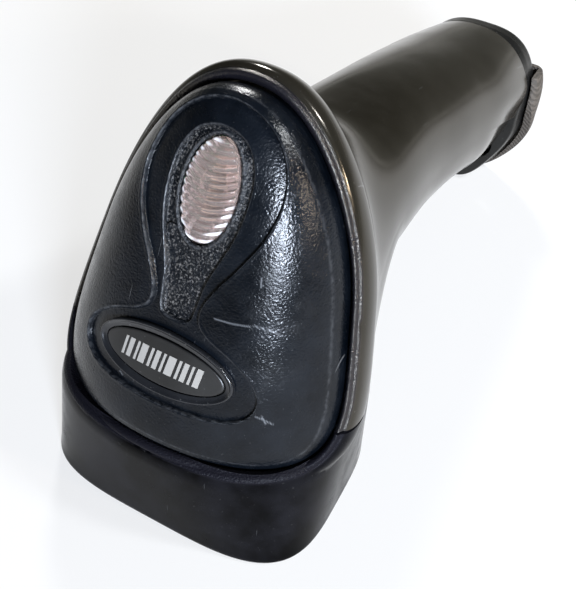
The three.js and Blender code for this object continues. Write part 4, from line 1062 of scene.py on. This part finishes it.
def lathe(profile, base, count=48):
    """Solid of revolution round a frame's w axis through (radius, height) points."""
    origin, u, v, w = base
    t = turn(count)
    circle_points = np.cos(t)[:, None] * u + np.sin(t)[:, None] * v
    return loft([origin + circle_points * max(r, 1e-3) + w * h for r, h in profile])


def screw(base, shank, length, head_r, head_h):
    """Cross-head screw; heights are measured from under the head."""
    thread, pitch = [], 0.7
    for z in -length + 0.9 + pitch * np.arange(int((length - 1.2) / pitch)):
        thread += [(shank * 0.82, z), (shank, z + pitch / 2)]
    profile = [(0.05, -length), (shank * 0.55, -length + 0.15)] + thread + [(shank * 0.85, -0.25), (shank, 0)]
    profile += [(head_r * 0.97, 0), (head_r, 0.12), (head_r, head_h * 0.45)]
    profile += [(head_r * math.cos(k), head_h * (0.45 + 0.55 * math.sin(k))) for k in np.linspace(0.25, 1.35, 6)]
    body = combine(lathe(profile, base))
    narrow, wide = head_r * 0.14, head_r * 0.58
    for w, l in ((narrow, wide), (wide, narrow)):
        body = combine(body, ("-", prism([(-w, -l), (w, -l), (w, l), (-w, l)], base, head_h * 0.35, head_h + 1)))
    return body


for number, y in enumerate(SCREW_Y, 1):
    origin, u, v, w = moved(screw_frame(y), w=WELL_FLOOR - GAP)
    place(f"well_screw_{number}", screw((origin, u, -v, -w), 1.2, 20, 2.8, 2), "screw_steel",
          (f"housing_screw_{number}",), 30)


# ---- everything else keeps its CAD shape ----
for part in frame["record"]["subparts"]:
    node = frame["nodes"][part["node"]]
    node.data.materials.clear()
    node.data.materials.append(MATERIALS[part["material_slot"]])

# ---- floor, light, camera ----
# Colour stops: the floor's glow by distance in metres, and the room by height.
FLOOR = [(0.0, (1, 1, 1)), (0.26, (1, 0.985, 0.96)), (0.5, (0.62, 0.59, 0.54)), (1.0, (0.3, 0.28, 0.25))]
SKY = [(0.0, (0.75, 0.74, 0.7)), (0.05, (0.2, 0.2, 0.18)), (0.3, (0.07, 0.07, 0.06)), (1.0, (0.03, 0.032, 0.036))]
FLOOR_HALF, FLOOR_Z = 4, -5e-5
HEAD = Vector((0, (-CENTRE_Y - 9) * MM, 50 * MM))
LAMP_DISTANCE = 1.2


def fill_ramp(ramp, stops):
    ramp.elements[0].position, ramp.elements[1].position = stops[0][0], stops[-1][0]
    for position, _ in stops[1:-1]:
        ramp.elements.new(position)
    for element, (_, colour) in zip(ramp.elements, stops):
        element.color = (*colour, 1)


floor_mesh = bpy.data.meshes.new("floor")
corners = [(x * FLOOR_HALF, y * FLOOR_HALF, FLOOR_Z) for x, y in ((-1, -1), (1, -1), (1, 1), (-1, 1))]
floor_mesh.from_pydata(corners, [], [(0, 1, 2, 3)])
floor = add_object("floor", floor_mesh)
floor_look = bpy.data.materials.new("floor_white")
floor_look.use_nodes = True
nodes, links = floor_look.node_tree.nodes, floor_look.node_tree.links
floor_shader = nodes["Principled BSDF"]
for key, value in (("Base Color", (0.22, 0.22, 0.22, 1)), ("Roughness", 0.9), ("Specular IOR Level", 0.1),
                   ("Emission Strength", 0.64)):
    floor_shader.inputs[key].default_value = value
reach = add_node(nodes, "VectorMath")
reach.operation = "LENGTH"
fall = add_node(nodes, "ValToRGB")
fill_ramp(fall.color_ramp, FLOOR)
fall.color_ramp.interpolation = "EASE"
below = add_node(nodes, "MixShader")  # seen from below, the floor is clear
links.new(add_node(nodes, "TexCoord").outputs["Object"], reach.inputs[0])
links.new(reach.outputs["Value"], fall.inputs["Fac"])
links.new(fall.outputs["Color"], floor_shader.inputs["Emission Color"])
links.new(add_node(nodes, "NewGeometry").outputs["Backfacing"], below.inputs[0])
links.new(floor_shader.outputs[0], below.inputs[1])
links.new(add_node(nodes, "BsdfTransparent").outputs[0], below.inputs[2])
links.new(below.outputs[0], nodes["Material Output"].inputs[0])
floor_mesh.materials.append(floor_look)

scene = bpy.context.scene
world = bpy.data.worlds.new("room")
world.use_nodes = True
scene.world = world
nodes, links = world.node_tree.nodes, world.node_tree.links
nodes.clear()
sky_out, sky = add_node(nodes, "OutputWorld"), add_node(nodes, "Background")
split, ramp = add_node(nodes, "SeparateXYZ"), add_node(nodes, "ValToRGB")
links.new(add_node(nodes, "TexCoord").outputs["Generated"], split.inputs[0])
links.new(split.outputs["Z"], ramp.inputs["Fac"])
links.new(ramp.outputs["Color"], sky.inputs["Color"])
links.new(sky.outputs[0], sky_out.inputs[0])
fill_ramp(ramp.color_ramp, SKY)


def area_light(name, direction, size, watts, colour=(1, 1, 1), size_y=None):
    """A rectangular lamp that faces the head from a direction."""
    data = bpy.data.lights.new(name, "AREA")
    data.shape = "RECTANGLE"
    data.size, data.size_y = size, size_y or size
    data.energy = watts
    data.color = colour
    lamp = add_object(name, data)
    toward = Vector(direction).normalized()
    lamp.location = HEAD + toward * LAMP_DISTANCE
    lamp.rotation_euler = toward.to_track_quat("Z", "Y").to_euler()
    return lamp


area_light("window_low", (0.66, -0.67, 0.34), 0.25, 38.0, (0.76, 0.85, 1.0))
area_light("lamp_warm", (0.94, 0.0, 0.33), 0.07, 4.0, (1.0, 0.84, 0.66))
strip_from, strip_along = Vector((0.66, 0.2, 0.72)), Vector((0.25, 0.47, -0.36))
strip = area_light("strip_side", strip_from, 0.12, 26.0, (0.95, 0.98, 1.0), 0.8)
strip_axes = (strip_from.cross(strip_along).normalized(), strip_along.normalized(), strip_from.normalized())
strip.rotation_euler = Matrix(strip_axes).transposed().to_euler()
area_light("strip_back", (-0.4, 0.68, 0.6), 0.16, 9.0)

camera_data = bpy.data.cameras.new("camera")
camera_data.lens = 66.26
camera_data.clip_start, camera_data.clip_end = 0.005, 20
camera = add_object("camera", camera_data)
right, up, back = (0.8614, 0.5051, 0.0539), (-0.3758, 0.5625, 0.7365), (0.3417, -0.6547, 0.6743)
at = Vector((76.60, -122.67 - CENTRE_Y, 171.63)) * MM
camera.matrix_world = Matrix((*zip(right, up, back, at), (0, 0, 0, 1)))
scene.camera = camera
scene.view_settings.view_transform = "Standard"
